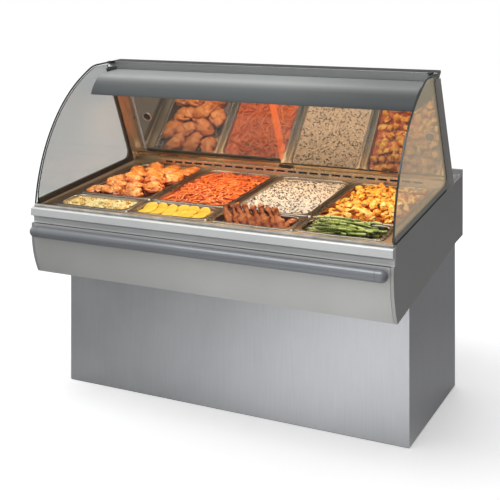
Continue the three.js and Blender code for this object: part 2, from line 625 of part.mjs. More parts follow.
// ---------------------------------------------------------------- lamp hood
function buildHood() {
  const visor = bentPath([305, 408], 70, [{ radius: 128, heading: 5, steps: 9 }, { length: 105 }]);
  const crown = visor[visor.length - 1];
  const rearFootOfHood = onLean(-9, 430);
  const rearTop = onLean(-9, crown[1] + 0.3);
  const outline = [...visor, rearTop, rearFootOfHood];
  const skin = prism(sheetOutline(outline, -SHEET), -HOOD_HALF, HOOD_HALF);
  const cheek = (x) => prism(outline, x, x + SHEET);
  add(cabinet, 'hood_shell', join(skin, cheek(-HOOD_HALF), cheek(HOOD_HALF - SHEET)), warmSatin);

  const slope = (rearFootOfHood[1] - visor[0][1]) / (rearFootOfHood[0] - visor[0][0]);
  const trayZ = (y) => visor[0][1] + (y - visor[0][0]) * slope + 6;
  const trayFront = visor[0][0] + 7;
  const trayRear = rearFootOfHood[0] - 9;
  const reach = HOOD_HALF - SHEET - GAP;
  const tray = prism([[trayFront, trayZ(trayFront)], [trayRear, trayZ(trayRear)],
    [trayRear, trayZ(trayRear) + SHEET], [trayFront + 1, trayZ(trayFront) + SHEET]], -reach, reach);
  const lampY = 430;
  const holes = columns.map((x) => new THREE.CylinderGeometry(LAMP_RADIUS + 1, LAMP_RADIUS + 1, 60, 24)
    .rotateX(Math.PI / 2).translate(x, lampY, trayZ(lampY)));
  add(cabinet, 'hood_tray', cut(tray, ...holes), panSteel);
  columns.forEach((x, index) => {
    const lamp = new THREE.LatheGeometry([
      [0, -6], [22, -4], [36, 0], [LAMP_RADIUS, 6], [36, 24], [22, 42], [16, 50], [0, 50],
    ].map(([r, z]) => new THREE.Vector2(r, z)), 20).rotateX(Math.PI / 2)
      .translate(x, lampY, trayZ(lampY) + 1);
    add(cabinet, `heat_lamp_${index + 1}`, lamp, lampGlass);
  });
}

buildPedestal();
buildBody();
buildDeck();
buildPans();
buildLedge();
buildControls();
buildGlass();
buildGlassHinge();
buildDoors();
buildHood();

export default displayCase;
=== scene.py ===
"""Looks of a heated serve-over display case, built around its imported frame.

Metres, +Z up, customers at -Y. Every place comes from the frame's boxes or from the named sizes below,
which are written in the cabinet frame: y runs back and z up from the front of the pan deck, in millimetres.
"""
import json
import math
import random

import bmesh
import bpy
import numpy as np
from mathutils import Euler, Matrix, Vector, noise


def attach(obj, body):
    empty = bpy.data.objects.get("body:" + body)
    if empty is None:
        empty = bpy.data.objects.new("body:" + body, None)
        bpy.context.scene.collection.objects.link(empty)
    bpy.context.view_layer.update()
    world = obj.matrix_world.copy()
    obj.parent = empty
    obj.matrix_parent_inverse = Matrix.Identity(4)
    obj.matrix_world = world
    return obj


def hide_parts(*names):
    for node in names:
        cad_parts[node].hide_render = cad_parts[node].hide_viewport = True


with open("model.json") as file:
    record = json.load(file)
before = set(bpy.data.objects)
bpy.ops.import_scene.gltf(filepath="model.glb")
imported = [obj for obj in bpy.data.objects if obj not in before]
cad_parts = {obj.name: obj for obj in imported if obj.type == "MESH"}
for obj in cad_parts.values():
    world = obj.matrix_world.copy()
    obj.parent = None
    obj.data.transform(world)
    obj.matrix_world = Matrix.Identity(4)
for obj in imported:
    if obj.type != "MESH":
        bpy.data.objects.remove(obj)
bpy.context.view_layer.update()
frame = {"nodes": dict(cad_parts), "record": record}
noise.seed_set(1)   # without a seed of its own, noise_vector differs from run to run

# ------------------------------------------------------------------ named sizes
MM = 0.001
DECK_HEIGHT = 757.0
DECK_SETBACK = 398.0
DECK_TILT = math.radians(4.7)
DOOR_LEAN = math.radians(25.9)
DOOR_FOOT = (722.9, 106.0)
DOOR_TOP = 416.0
PAN_PITCH = 337.0
PAN_WIDTH = 325.0
THIRD_LENGTH = 176.0
FULL_LENGTH = 530.0
ROW_GAP = 7.0
GLASS = 6.0
GLASS_HALF = 720.0
INNER_HALF = 712.5
HOOD_HALF = 690.0
CAMERA_LENS = 76.4
CAMERA_PLACE = (1.724, -3.883, 1.601)
CAMERA_YAW = math.radians(28.2)
CAMERA_SHIFT = (0.159, -0.518)


# ------------------------------------------------------------------ frames
def cabinet(x, y, z):
    """A point of the cabinet frame, in metres in the shared frame."""
    return Vector((x * MM, (y - DECK_SETBACK) * MM, (z + DECK_HEIGHT) * MM))


CABINET = Matrix.Translation((0, -DECK_SETBACK * MM, DECK_HEIGHT * MM)) @ Matrix.Scale(MM, 4)
DECK = CABINET @ Matrix.Rotation(DECK_TILT, 4, "X")
DOORWAY = CABINET @ Matrix.Translation((0, *DOOR_FOOT)) @ Matrix.Rotation(DOOR_LEAN, 4, "X")


def pan_frame(column, full):
    """The frame of one pan: zero at the middle of its opening, level with the deck, in millimetres."""
    y = THIRD_LENGTH + ROW_GAP + FULL_LENGTH / 2 if full else THIRD_LENGTH / 2
    return DECK @ Matrix.Translation(((column - 2.5) * PAN_PITCH, y, 0))


# ------------------------------------------------------------------ outlines
def bent_path(start, heading, legs):
    """Straight legs (length,) and round legs (radius, new heading, steps) in the y-z plane, in degrees."""
    points = [start]
    for leg in legs:
        y, z = points[-1]
        angle = math.radians(heading)
        if len(leg) == 1:
            points.append((y + leg[0] * math.cos(angle), z + leg[0] * math.sin(angle)))
            continue
        radius, goal, steps = leg
        side = math.copysign(radius, goal - heading)
        centre = (y - side * math.sin(angle), z + side * math.cos(angle))
        for step in range(1, steps + 1):
            turned = math.radians(heading + (goal - heading) * step / steps)
            points.append((centre[0] + side * math.sin(turned), centre[1] - side * math.cos(turned)))
        heading = goal
    return points


def offset_path(points, distance):
    """The same path moved sideways; a positive distance is to the left of its direction."""
    def normal(a, b):
        length = math.hypot(b[0] - a[0], b[1] - a[1])
        return -(b[1] - a[1]) / length, (b[0] - a[0]) / length

    moved = []
    for index, point in enumerate(points):
        before = normal(points[index - 1], point) if index else None
        after = normal(point, points[index + 1]) if index < len(points) - 1 else None
        u, v = before or after, after or before
        stretch = distance / (1 + u[0] * v[0] + u[1] * v[1])
        moved.append((point[0] + stretch * (u[0] + v[0]), point[1] + stretch * (u[1] + v[1])))
    return moved


def band(path, thickness):
    return path + offset_path(path, thickness)[::-1]


def lean_y(depth, z):
    return DOOR_FOOT[0] + depth / math.cos(DOOR_LEAN) - (z - DOOR_FOOT[1]) * math.tan(DOOR_LEAN)


def side_top(y):
    return 2 + (y + 48) * 0.094


GLASS_PATH = bent_path((-56, 8), 83, [(620, 26, 44), (45,), (200, 3, 12), (95,)])
BELLY_PATH = bent_path((-71, -65), -95, [(337, -60, 28)])


# ------------------------------------------------------------------ meshes
def finish_mesh(name, bm, material, body, bevel=0.0, segments=2, sharp=30, stands_for=()):
    """Bevels the sharp edges, shades smooth between them and hands the piece to its body."""
    bmesh.ops.recalc_face_normals(bm, faces=bm.faces)
    if bevel:
        limit = math.radians(sharp)
        edges = [e for e in bm.edges if len(e.link_faces) == 2 and e.calc_face_angle() > limit]
        bmesh.ops.bevel(bm, geom=edges, offset=bevel * MM, segments=segments, profile=0.6,
                        affect="EDGES", clamp_overlap=True)
    mesh = bpy.data.meshes.new(name)
    bm.to_mesh(mesh)
    bm.free()
    for face in mesh.polygons:
        face.use_smooth = True
    mesh.set_sharp_from_angle(angle=math.radians(38))
    piece = bpy.data.objects.new(name, mesh)
    bpy.context.scene.collection.objects.link(piece)
    mesh.materials.append(material)
    if bevel:
        flat = piece.modifiers.new("flat_faces", "WEIGHTED_NORMAL")
        flat.keep_sharp = True
    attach(piece, body)
    if stands_for:
        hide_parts(*stands_for)
    return piece


def mesh_from(vertices, faces, place=CABINET):
    bm = bmesh.new()
    points = [bm.verts.new(place @ Vector(v)) for v in vertices]
    for face in faces:
        bm.faces.new([points[i] for i in face])
    return bm


def prism(outline, x0, x1, place=CABINET):
    """A closed solid with a y-z outline, running along x."""
    count = len(outline)
    vertices = [(x, y, z) for x in (x0, x1) for y, z in outline]
    faces = [list(range(count))[::-1], list(range(count, 2 * count))]
    for i in range(count):
        j = (i + 1) % count
        faces.append([i, j, j + count, i + count])
    return mesh_from(vertices, faces, place)


def joined(*parts):
    """Several closed shells in one bmesh."""
    whole = parts[0]
    for part in parts[1:]:
        spare = bpy.data.meshes.new("spare")
        part.to_mesh(spare)
        part.free()
        whole.from_mesh(spare)
        bpy.data.meshes.remove(spare)
    return whole


def ring_skin(rings):
    """Corners and faces of a skin over equal rings of points, closed at both ends."""
    count = len(rings[0])
    vertices = [point for ring in rings for point in ring]
    faces = [list(range(count))]
    for level in range(len(rings) - 1):
        for i in range(count):
            j = (i + 1) % count
            a, b = level * count, (level + 1) * count
            faces.append([a + i, a + j, b + j, b + i])
    last = (len(rings) - 1) * count
    faces.append([last + i for i in range(count)][::-1])
    return vertices, faces


def skinned(rings, place):
    return mesh_from(*ring_skin(rings), place)


def looped(rings, place):
    """Skins equal rings that close on themselves, as a torus does."""
    count = len(rings[0])
    vertices = [point for ring in rings for point in ring]
    faces = []
    for level in range(len(rings)):
        after = (level + 1) % len(rings)
        for i in range(count):
            j = (i + 1) % count
            faces.append([level * count + i, level * count + j, after * count + j, after * count + i])
    return mesh_from(vertices, faces, place)


def turned(profile, place, steps=32):
    """A solid turned about z from (radius, height) pairs; the ends close on small caps."""
    rings = []
    for radius, height in profile:
        rings.append([(max(radius, 0.05) * math.cos(2 * math.pi * k / steps),
                       max(radius, 0.05) * math.sin(2 * math.pi * k / steps), height) for k in range(steps)])
    return skinned(rings, place)


def tube_rings(points, radii, sides):
    """The rings of a round tube through the points, with one radius per point."""
    points = [Vector(p) for p in points]
    rings = []
    across = None
    for index, point in enumerate(points):
        ahead = points[min(index + 1, len(points) - 1)] - points[max(index - 1, 0)]
        ahead.normalize()
        guess = across if across is not None else Vector((0.31, 0.17, 0.93))
        across = (guess - ahead * guess.dot(ahead)).normalized()
        other = ahead.cross(across)
        rings.append([tuple(point + radii[index] * (math.cos(t) * across + math.sin(t) * other))
                      for t in (2 * math.pi * k / sides for k in range(sides))])
    return rings


def refined(node, material, bevel=0.8, segments=2):
    """A copy of a CAD node with its flat faces merged and its edges rounded, standing for the node."""
    bm = bmesh.new()
    bm.from_mesh(frame["nodes"][node].data)
    bmesh.ops.remove_doubles(bm, verts=bm.verts, dist=1e-5)
    bmesh.ops.dissolve_limit(bm, angle_limit=math.radians(0.6), verts=bm.verts, edges=bm.edges)
    return finish_mesh(f"{node}_skin", bm, material, body_of(node), bevel, segments,
                       stands_for=(node,))


def body_of(node):
    for body, nodes in frame["record"]["behaviour"]["bodies"].items():
        if node in nodes:
            return body
    raise KeyError(node)


# ------------------------------------------------------------------ material helpers
def rgb(red, green, blue):
    """A screen colour, 0 to 255, as the linear colour that shaders use."""
    return tuple(((c / 255 + 0.055) / 1.055) ** 2.4 if c > 10 else c / 3294.6 for c in (red, green, blue))


class Paint:
    """A node material around one Principled shader, with object coordinates in metres."""

    def __init__(self, name, color=(0.5, 0.5, 0.5), roughness=0.5, metallic=0.0, **inputs):
        self.material = bpy.data.materials.new(name)
        self.material.use_nodes = True
        self.nodes = self.material.node_tree.nodes
        self.links = self.material.node_tree.links
        self.shader = self.nodes["Principled BSDF"]
        self.set("Base Color", (*color, 1))
        self.set("Roughness", roughness)
        self.set("Metallic", metallic)
        for key, value in inputs.items():
            self.set(key.replace("_", " "), value)
        self.place = self.nodes.new("ShaderNodeTexCoord").outputs["Object"]

    def set(self, key, value):
        if hasattr(value, "is_output") or isinstance(value, bpy.types.NodeSocket):
            self.links.new(value, self.shader.inputs[key])
        else:
            self.shader.inputs[key].default_value = value

    def stretched(self, scale, turn=(0, 0, 0)):
        node = self.nodes.new("ShaderNodeMapping")
        self.links.new(self.place, node.inputs["Vector"])
        node.inputs["Scale"].default_value = scale
        node.inputs["Rotation"].default_value = turn
        return node.outputs["Vector"]

    def noise(self, scale, detail=3.0, vector=None, distortion=0.0, roughness=0.5):
        node = self.nodes.new("ShaderNodeTexNoise")
        self.links.new(vector or self.place, node.inputs["Vector"])
        node.inputs["Scale"].default_value = scale
        node.inputs["Detail"].default_value = detail
        node.inputs["Distortion"].default_value = distortion
        node.inputs["Roughness"].default_value = roughness
        return node.outputs["Fac"]

    def cells(self, scale, vector=None, output="Distance", feature="F1"):
        node = self.nodes.new("ShaderNodeTexVoronoi")
        node.feature = feature
        self.links.new(vector or self.place, node.inputs["Vector"])
        node.inputs["Scale"].default_value = scale
        return node.outputs[output]

    def ramp(self, fac, stops):
        node = self.nodes.new("ShaderNodeValToRGB")
        elements = node.color_ramp.elements
        while len(elements) < len(stops):
            elements.new(0.5)
        for element, (position, color) in zip(elements, stops):
            element.position = position
            element.color = (*color, 1) if isinstance(color, tuple) else (color, color, color, 1)
        self.links.new(fac, node.inputs["Fac"])
        return node.outputs["Color"]

    def mixed(self, fac, a, b, blend="MIX"):
        node = self.nodes.new("ShaderNodeMix")
        node.data_type = "RGBA"
        node.blend_type = blend
        sockets = {"Factor": node.inputs[0], "A": node.inputs[6], "B": node.inputs[7]}
        for key, value in (("Factor", fac), ("A", a), ("B", b)):
            if isinstance(value, bpy.types.NodeSocket):
                self.links.new(value, sockets[key])
            elif isinstance(value, tuple):
                sockets[key].default_value = (*value, 1)
            else:
                sockets[key].default_value = value
        return node.outputs[2]

    def total(self, *terms):
        """The sum of (value, weight) pairs."""
        result = None
        for value, weight in terms:
            node = self.nodes.new("ShaderNodeMath")
            node.operation = "MULTIPLY_ADD"
            self.links.new(value, node.inputs[0])
            node.inputs[1].default_value = weight
            if result is None:
                node.inputs[2].default_value = 0.0
            else:
                self.links.new(result, node.inputs[2])
            result = node.outputs[0]
        return result

    def scaled(self, value, low, high):
        node = self.nodes.new("ShaderNodeMapRange")
        self.links.new(value, node.inputs["Value"])
        node.inputs["To Min"].default_value = low
        node.inputs["To Max"].default_value = high
        return node.outputs["Result"]

    def scaled_from(self, value, start, end):
        node = self.nodes.new("ShaderNodeMapRange")
        self.links.new(value, node.inputs["Value"])
        node.inputs["From Min"].default_value = start
        node.inputs["From Max"].default_value = end
        return node.outputs["Result"]

    def height(self, *layers):
        """Bumps from (texture, depth in metres) layers, one on top of the other."""
        normal = None
        for source, depth in layers:
            node = self.nodes.new("ShaderNodeBump")
            node.inputs["Strength"].default_value = 1.0
            node.inputs["Distance"].default_value = depth
            self.links.new(source, node.inputs["Height"])
            if normal is not None:
                self.links.new(normal, node.inputs["Normal"])
            normal = node.outputs["Normal"]
        self.links.new(normal, self.shader.inputs["Normal"])

    def normal(self, axis):
        """One part of the surface's direction, in the shared frame."""
        parts = self.nodes.new("ShaderNodeSeparateXYZ")
        self.links.new(self.nodes.new("ShaderNodeNewGeometry").outputs["Normal"], parts.inputs[0])
        return parts.outputs[axis]

    def layer(self):
        """The Fresnel-like facing weight, for glass."""
        node = self.nodes.new("ShaderNodeLayerWeight")
        node.inputs["Blend"].default_value = 0.25
        return node.outputs["Facing"]


def brushed(name, color, roughness, along, metallic=1.0, streak=0.06, wear=0.05, top=None):
    """Brushed sheet: fine streaks along one axis, faint handling marks and, when top is given, a darker colour on level
    faces that is painted shade.
    """
    paint = Paint(name, color, roughness, metallic)
    scale = [900.0, 900.0, 900.0]
    scale["xyz".index(along)] = 6.0
    streaks = paint.noise(1.0, 2.0, paint.stretched(tuple(scale)))
    marks = paint.noise(7.0, 4.0, distortion=0.6)
    dark = tuple(c * (1 - streak) for c in color)
    light = tuple(min(1.0, c * (1 + streak)) for c in color)
    tone = paint.ramp(streaks, [(0.25, dark), (0.75, light)])
    soft = paint.ramp(marks, [(0.3, 1 - wear), (0.7, 1.0)])
    # Painted shade: level faces take the top colour in place of the streaked tone.
    if top:
        tone = paint.mixed(paint.ramp(paint.normal("Z"), [(0.55, 0.0), (0.8, 1.0)]), tone, top)
    paint.set("Base Color", paint.mixed(1.0, tone, soft, "MULTIPLY"))
    paint.set("Roughness", paint.scaled(marks, roughness - 0.05, roughness + 0.08))
    paint.height((streaks, 0.00002), (marks, 0.0002))
    return paint.material


def satin(name, color, roughness, metallic, grain=1400.0, depth=0.00002):
    """Powder-coated or anodised metal: a fine even grain and a slow drift in tone."""
    paint = Paint(name, color, roughness, metallic)
    fine = paint.noise(grain, 2.0)
    drift = paint.noise(3.0, 3.0)
    low = tuple(c * 0.94 for c in color)
    high = tuple(min(1.0, c * 1.05) for c in color)
    paint.set("Base Color", paint.ramp(drift, [(0.3, low), (0.7, high)]))
    paint.set("Roughness", paint.scaled(fine, roughness - 0.04, roughness + 0.06))
    paint.height((fine, depth))
    return paint.material


def rubber(name, color, roughness):
    paint = Paint(name, color, roughness)
    grain = paint.noise(900.0, 3.0)
    dust = paint.noise(22.0, 4.0)
    paint.set("Base Color", paint.ramp(dust, [(0.35, color), (0.75, tuple(c * 1.6 + 0.01 for c in color))]))
    paint.set("Roughness", paint.scaled(grain, roughness - 0.08, roughness + 0.1))
    paint.height((grain, 0.00006))
    return paint.material


def see_through(paint, body):
    """Mixes clear passage with the painted surface; body is how much of the surface shows."""
    smears = paint.noise(9.0, 4.0, distortion=1.0)
    paint.set("Roughness", paint.scaled(smears, 0.03, 0.08))
    clear = paint.nodes.new("ShaderNodeBsdfTransparent")
    clear.inputs["Color"].default_value = (0.99, 1.0, 0.995, 1)
    mix = paint.nodes.new("ShaderNodeMixShader")
    paint.links.new(body, mix.inputs[0])
    paint.links.new(clear.outputs[0], mix.inputs[1])
    paint.links.new(paint.shader.outputs[0], mix.inputs[2])
    paint.links.new(mix.outputs[0], paint.nodes["Material Output"].inputs["Surface"])
    return paint.material


def clear_pane(name):
    """Clear glass, with more mirror at grazing angles."""
    paint = Paint(name, (0.06, 0.065, 0.065), 0.03, 0.0, IOR=1.5)
    return see_through(paint, paint.scaled(paint.layer(), 0.03, 0.24))


def smoked_pane(name):
    """Grey glass with dark cut edges; seen edge on, its faces take a pale painted sheen and a warm painted glow that
    stand for light from the case.
    """
    paint = Paint(name, (0.13, 0.135, 0.135), 0.03, 0.0, IOR=1.5)
    sideways = paint.nodes.new("ShaderNodeMath")
    sideways.operation = "ABSOLUTE"
    paint.links.new(paint.normal("X"), sideways.inputs[0])
    face = paint.ramp(sideways.outputs[0], [(0.85, 0.0), (0.95, 1.0)])
    # Painted sheen: the faces turn pale towards grazing angles.
    haze = paint.ramp(paint.layer(), [(0.26, (0.13, 0.135, 0.135)), (0.5, rgb(236, 232, 224))])
    paint.set("Base Color", paint.mixed(face, (0.015, 0.02, 0.02), haze))
    # Painted glow: warm emission on the faces, growing towards grazing angles, stands for warm light from inside the
    # case.
    paint.set("Emission Color", paint.mixed(face, (0.0, 0.0, 0.0), (1.0, 0.75, 0.35)))
    paint.set("Emission Strength", paint.ramp(paint.layer(), [(0.3, 0.0), (0.5, 0.19)]))
    return see_through(paint, paint.ramp(face, [(0.0, 0.95), (1.0, 0.38)]))


def painted_crown_highlight(name):
    """Satin sheet with painted light: a painted highlight at the crown of its curve, with painted shade falling to its
    lower edge and towards the right end.
    """
    paint = Paint(name, (0.3, 0.3, 0.3), 0.46, 0.0, Specular_IOR_Level=0.25)
    parts = paint.nodes.new("ShaderNodeSeparateXYZ")
    paint.links.new(paint.place, parts.inputs[0])
    foot = (DECK_HEIGHT + 408) * MM
    crown = (DECK_HEIGHT + 501) * MM
    rise = paint.scaled_from(parts.outputs["Z"], foot, crown)
    # Painted highlight and shade by height: brightest just below the crown, darkest at the lower edge.
    tone = paint.ramp(rise, [(0.0, rgb(80, 82, 85)), (0.1, rgb(88, 90, 93)), (0.38, rgb(96, 97, 99)),
                             (0.55, rgb(112, 112, 113)), (0.68, rgb(146, 146, 146)), (0.81, rgb(194, 193, 193)),
                             (0.91, rgb(188, 187, 187)), (1.0, rgb(184, 183, 183))])
    # Painted shade towards the right end.
    across = paint.ramp(paint.scaled_from(parts.outputs["X"], -HOOD_HALF * MM, HOOD_HALF * MM),
                        [(0.0, 1.0), (0.62, 1.0), (0.9, 0.66)])
    fine = paint.noise(1400.0, 2.0)
    paint.set("Base Color", paint.mixed(1.0, tone, across, "MULTIPLY"))
    paint.set("Roughness", paint.scaled(fine, 0.42, 0.54))
    paint.height((fine, 0.00002))
    return paint.material


def capped(name, color, cap):
    """Anodised extrusion with a dark strip let into its top."""
    paint = Paint(name, color, 0.34, 0.7)
    fine = paint.noise(1400.0, 2.0)
    drift = paint.noise(3.0, 3.0)
    side = paint.ramp(drift, [(0.3, tuple(c * 0.94 for c in color)), (0.7, tuple(c * 1.05 for c in color))])
    paint.set("Base Color", paint.mixed(paint.ramp(paint.normal("Z"), [(0.93, 0.0), (0.97, 1.0)]), side, cap))
    paint.set("Roughness", paint.scaled(fine, 0.32, 0.44))
    paint.height((fine, 0.00002))
    return paint.material


def two_faced_channel(name):
    """The channel around the end glass: grey outside, black towards the food."""
    paint = Paint(name, (0.1, 0.1, 0.1), 0.45)
    parts = paint.nodes.new("ShaderNodeSeparateXYZ")
    paint.links.new(paint.place, parts.inputs[0])
    outward = paint.nodes.new("ShaderNodeMath")
    outward.operation = "MULTIPLY"
    paint.links.new(paint.normal("X"), outward.inputs[0])
    paint.links.new(parts.outputs["X"], outward.inputs[1])
    grain = paint.noise(800.0, 3.0)
    paint.set("Base Color", paint.ramp(outward.outputs[0], [(0.25, rgb(9, 9, 9)), (0.4, rgb(150, 149, 147))]))
    paint.set("Roughness", paint.scaled(grain, 0.38, 0.5))
    paint.height((grain, 0.00005))
    return paint.material


def mirror(name):
    # Painted glow: the mirror carries a faint warm emission of its own.
    paint = Paint(name, (0.43, 0.39, 0.34), 0.015, 1.0, Emission_Strength=1.0)
    paint.set("Emission Color", (0.040, 0.034, 0.026, 1))
    haze = paint.noise(14.0, 4.0, distortion=0.8)
    paint.set("Roughness", paint.scaled(haze, 0.01, 0.05))
    wave = paint.noise(5.0, 1.0)
    paint.height((wave, 0.00008))
    return paint.material


def food(name, tones, patch, grain, roughness=0.35, depth=0.0008, each=0.3, facing=0.0, coat=0.25, painted_hollow_shade=0.0,
         swirl=0.7):
    """Cooked food. Its tones vary by patch and by piece, with painted light from sides to top and painted shade from
    hollows to crowns.
    """
    paint = Paint(name, tones[1], roughness, 0.0, Coat_Weight=coat, Coat_Roughness=0.15)
    geometry = paint.nodes.new("ShaderNodeNewGeometry")
    parts = paint.nodes.new("ShaderNodeSeparateXYZ")
    paint.links.new(geometry.outputs["Normal"], parts.inputs[0])
    patches = paint.noise(patch, 4.0, distortion=swirl)
    fine = paint.noise(grain, 3.0)
    # The up part of the normal is painted light: faces turned up take lighter tones.
    terms = [(patches, 1 - each - facing - painted_hollow_shade), (geometry.outputs["Random Per Island"], each),
             (parts.outputs["Z"], facing)]
    # Painted shade: ambient occlusion darkens hollows and the gaps between pieces.
    if painted_hollow_shade:
        painted_shade_occlusion = paint.nodes.new("ShaderNodeAmbientOcclusion")
        painted_shade_occlusion.samples = 4
        painted_shade_occlusion.inputs["Distance"].default_value = 0.03
        terms.append((painted_shade_occlusion.outputs["AO"], painted_hollow_shade))
    tone = paint.total(*terms)
    spread = 1 - facing - painted_hollow_shade
    low = 0.28 * spread + 0.35 * painted_hollow_shade
    high = 0.72 * spread + facing + 0.97 * painted_hollow_shade
    stops = [(low + (high - low) * index / (len(tones) - 1), color) for index, color in enumerate(tones)]
    paint.set("Base Color", paint.mixed(0.25, paint.ramp(tone, stops), paint.ramp(fine, [(0.3, 0.5), (0.7, 1.0)]),
                                        "MULTIPLY"))
    paint.set("Roughness", paint.scaled(fine, roughness - 0.1, roughness + 0.2))
    paint.height((patches, depth), (fine, depth * 0.4))
    return paint.material


FOOD = {
    "chicken": food("roast_chicken", [rgb(40, 8, 2), rgb(126, 38, 6), rgb(204, 92, 20), rgb(240, 148, 56),
                                      rgb(255, 200, 118)], 30.0, 420.0, 0.2, 0.0018, 0.04, 0.12, 0.6, 0.36, 2.8),
    "drumstick": food("fried_drumstick", [rgb(14, 3, 1), rgb(92, 26, 3), rgb(190, 80, 12), rgb(246, 150, 54)],
                      60.0, 500.0, 0.34, 0.0020, 0.04, 0.12, 0.15, 0.46, 2.4),
    "juice": food("pan_juice", [rgb(30, 9, 4), rgb(72, 24, 8), rgb(120, 50, 16)], 30.0, 300.0, 0.2, 0.0006, 0.0,
                  0.0, 0.6),
    "noodle": food("tomato_noodle", [rgb(158, 42, 6), rgb(224, 98, 22), rgb(250, 156, 66)], 60.0, 500.0, 0.3,
                   0.0005, 0.34, 0.0, 0.3, 0.26),
    "sauce": food("tomato_sauce", [rgb(164, 48, 6), rgb(218, 94, 20), rgb(242, 132, 44)], 70.0, 400.0, 0.3, 0.0012,
                  0.0, 0.1, 0.35),
    "potato": food("herb_potato", [rgb(186, 76, 4), rgb(238, 142, 18), rgb(252, 188, 52), rgb(255, 222, 124)],
                   50.0, 420.0, 0.32, 0.0010, 0.22, 0.14, 0.35, 0.24),
    "potato_sauce": food("paprika_sauce", [rgb(150, 44, 4), rgb(206, 84, 8), rgb(232, 128, 24)], 40.0, 400.0, 0.25,
                         0.0008, 0.0, 0.0, 0.5),
    "gratin": food("cream_gratin", [rgb(184, 98, 30), rgb(246, 202, 104), rgb(255, 244, 186), rgb(255, 252, 224)],
                   38.0, 420.0, 0.42, 0.001, 0.14, 0.08),
    "yellow": food("yellow_slice", [rgb(180, 96, 2), rgb(228, 162, 8), rgb(246, 196, 24), rgb(254, 220, 66)],
                   45.0, 420.0, 0.5, 0.0004, 0.06, 0.06, 0.1, 0.4),
    "slice_sauce": food("slice_sauce", [rgb(112, 44, 4), rgb(186, 96, 12), rgb(226, 146, 30)], 40.0, 400.0, 0.25,
                        0.001, 0.0, 0.0, 0.5),
    "herb": food("chopped_herb", [rgb(24, 32, 10), rgb(50, 62, 20), rgb(92, 100, 40)], 200.0, 900.0, 0.5, 0.0004,
                 0.6, coat=0.0),
    "asparagus": food("asparagus_stem", [rgb(60, 66, 12), rgb(128, 154, 34), rgb(190, 206, 74), rgb(238, 240, 160)],
                      45.0, 500.0, 0.3, 0.0005, 0.4, 0.1, 0.4, 0.3),
    "asparagus_tip": food("asparagus_scale", [rgb(44, 36, 16), rgb(88, 88, 32), rgb(146, 146, 64)], 90.0, 600.0,
                          0.4, 0.0003, 0.5),
    "rice": food("rice_grain", [rgb(222, 212, 200), rgb(246, 240, 232), rgb(255, 253, 250)], 200.0, 900.0, 0.45,
                 0.0002, 0.5, 0.1, 0.1, 0.2),
    "rice_bed": food("rice_bed", [rgb(160, 144, 128), rgb(232, 222, 208), rgb(248, 242, 234)], 320.0, 900.0, 0.5,
                     0.0014, 0.0),
    "wild_rice": food("wild_rice_grain", [rgb(14, 9, 8), rgb(36, 23, 18), rgb(84, 54, 38)], 300.0, 900.0, 0.35,
                      0.0002, 0.6),
}

MAT = {
    "pedestal": brushed("pedestal_brushed", (0.59, 0.60, 0.62), 0.34, "z"),
    "staff_steel": brushed("staff_brushed", (0.58, 0.59, 0.60), 0.36, "x"),
    "side": brushed("side_grey", (0.43, 0.43, 0.425), 0.42, "z", metallic=0.6),
    "frame_steel": satin("frame_grey", (0.12, 0.12, 0.12), 0.5, 0.6),
    "belly": satin("warm_satin", (0.51, 0.51, 0.50), 0.40, 0.35),
    "sill": satin("pale_aluminium", (0.63, 0.64, 0.64), 0.44, 0.35),
    "post": satin("post_aluminium", (0.60, 0.57, 0.53), 0.24, 0.9),
    "hinge": satin("hinge_steel", (0.30, 0.30, 0.30), 0.42, 0.6),
    "top": capped("top_aluminium", (0.30, 0.30, 0.305), (0.03, 0.031, 0.031)),
    "rail": satin("bumper_grey", (0.21, 0.22, 0.235), 0.30, 0.4, grain=700.0, depth=0.00004),
    "hood": painted_crown_highlight("hood_satin"),
    # Pan steel: its warm tint is painted reflection of the heat lamps' light, and its dark top colour is painted shade
    # on the level rims.
    "pan": brushed("pan_steel", (0.50, 0.46, 0.41), 0.27, "x", streak=0.03, top=(0.20, 0.175, 0.145)),
    # Painted reflection: the warm brown of the deck, well and bar steels stands for the heat lamps' warm light on them.
    "deck": brushed("deck_steel", (0.44, 0.35, 0.26), 0.30, "x", streak=0.04),
    "well": brushed("well_steel", (0.30, 0.26, 0.22), 0.30, "x", streak=0.04),
    "bar": brushed("bar_steel", (0.105, 0.092, 0.078), 0.30, "y", streak=0.04),
    # Painted reflection: the golden colour of the ledge steel, also used on the lower door track, stands for warm lamp
    # light on it.
    "ledge": brushed("ledge_steel", (0.68, 0.53, 0.36), 0.24, "x", streak=0.04),
    "slot_shade": rubber("slot_shade", (0.003, 0.003, 0.003), 0.9),
    "print": satin("print_white", (0.75, 0.75, 0.73), 0.5, 0.0),
    "seal": rubber("grey_seal", (0.29, 0.28, 0.255), 0.6),
    "brass": satin("plug_pin", (0.72, 0.58, 0.30), 0.2, 1.0),
    "rubber": rubber("black_rubber", (0.012, 0.012, 0.013), 0.5),
    "channel": two_faced_channel("channel_grey"),
    "plastic": rubber("black_plastic", (0.02, 0.02, 0.021), 0.38),
    "glass": clear_pane("clear_glass"),
    "smoked": smoked_pane("smoked_glass"),
    "glass_edge": rubber("glass_edge_dark", (0.02, 0.03, 0.028), 0.15),
    "mirror": mirror("door_mirror"),
}


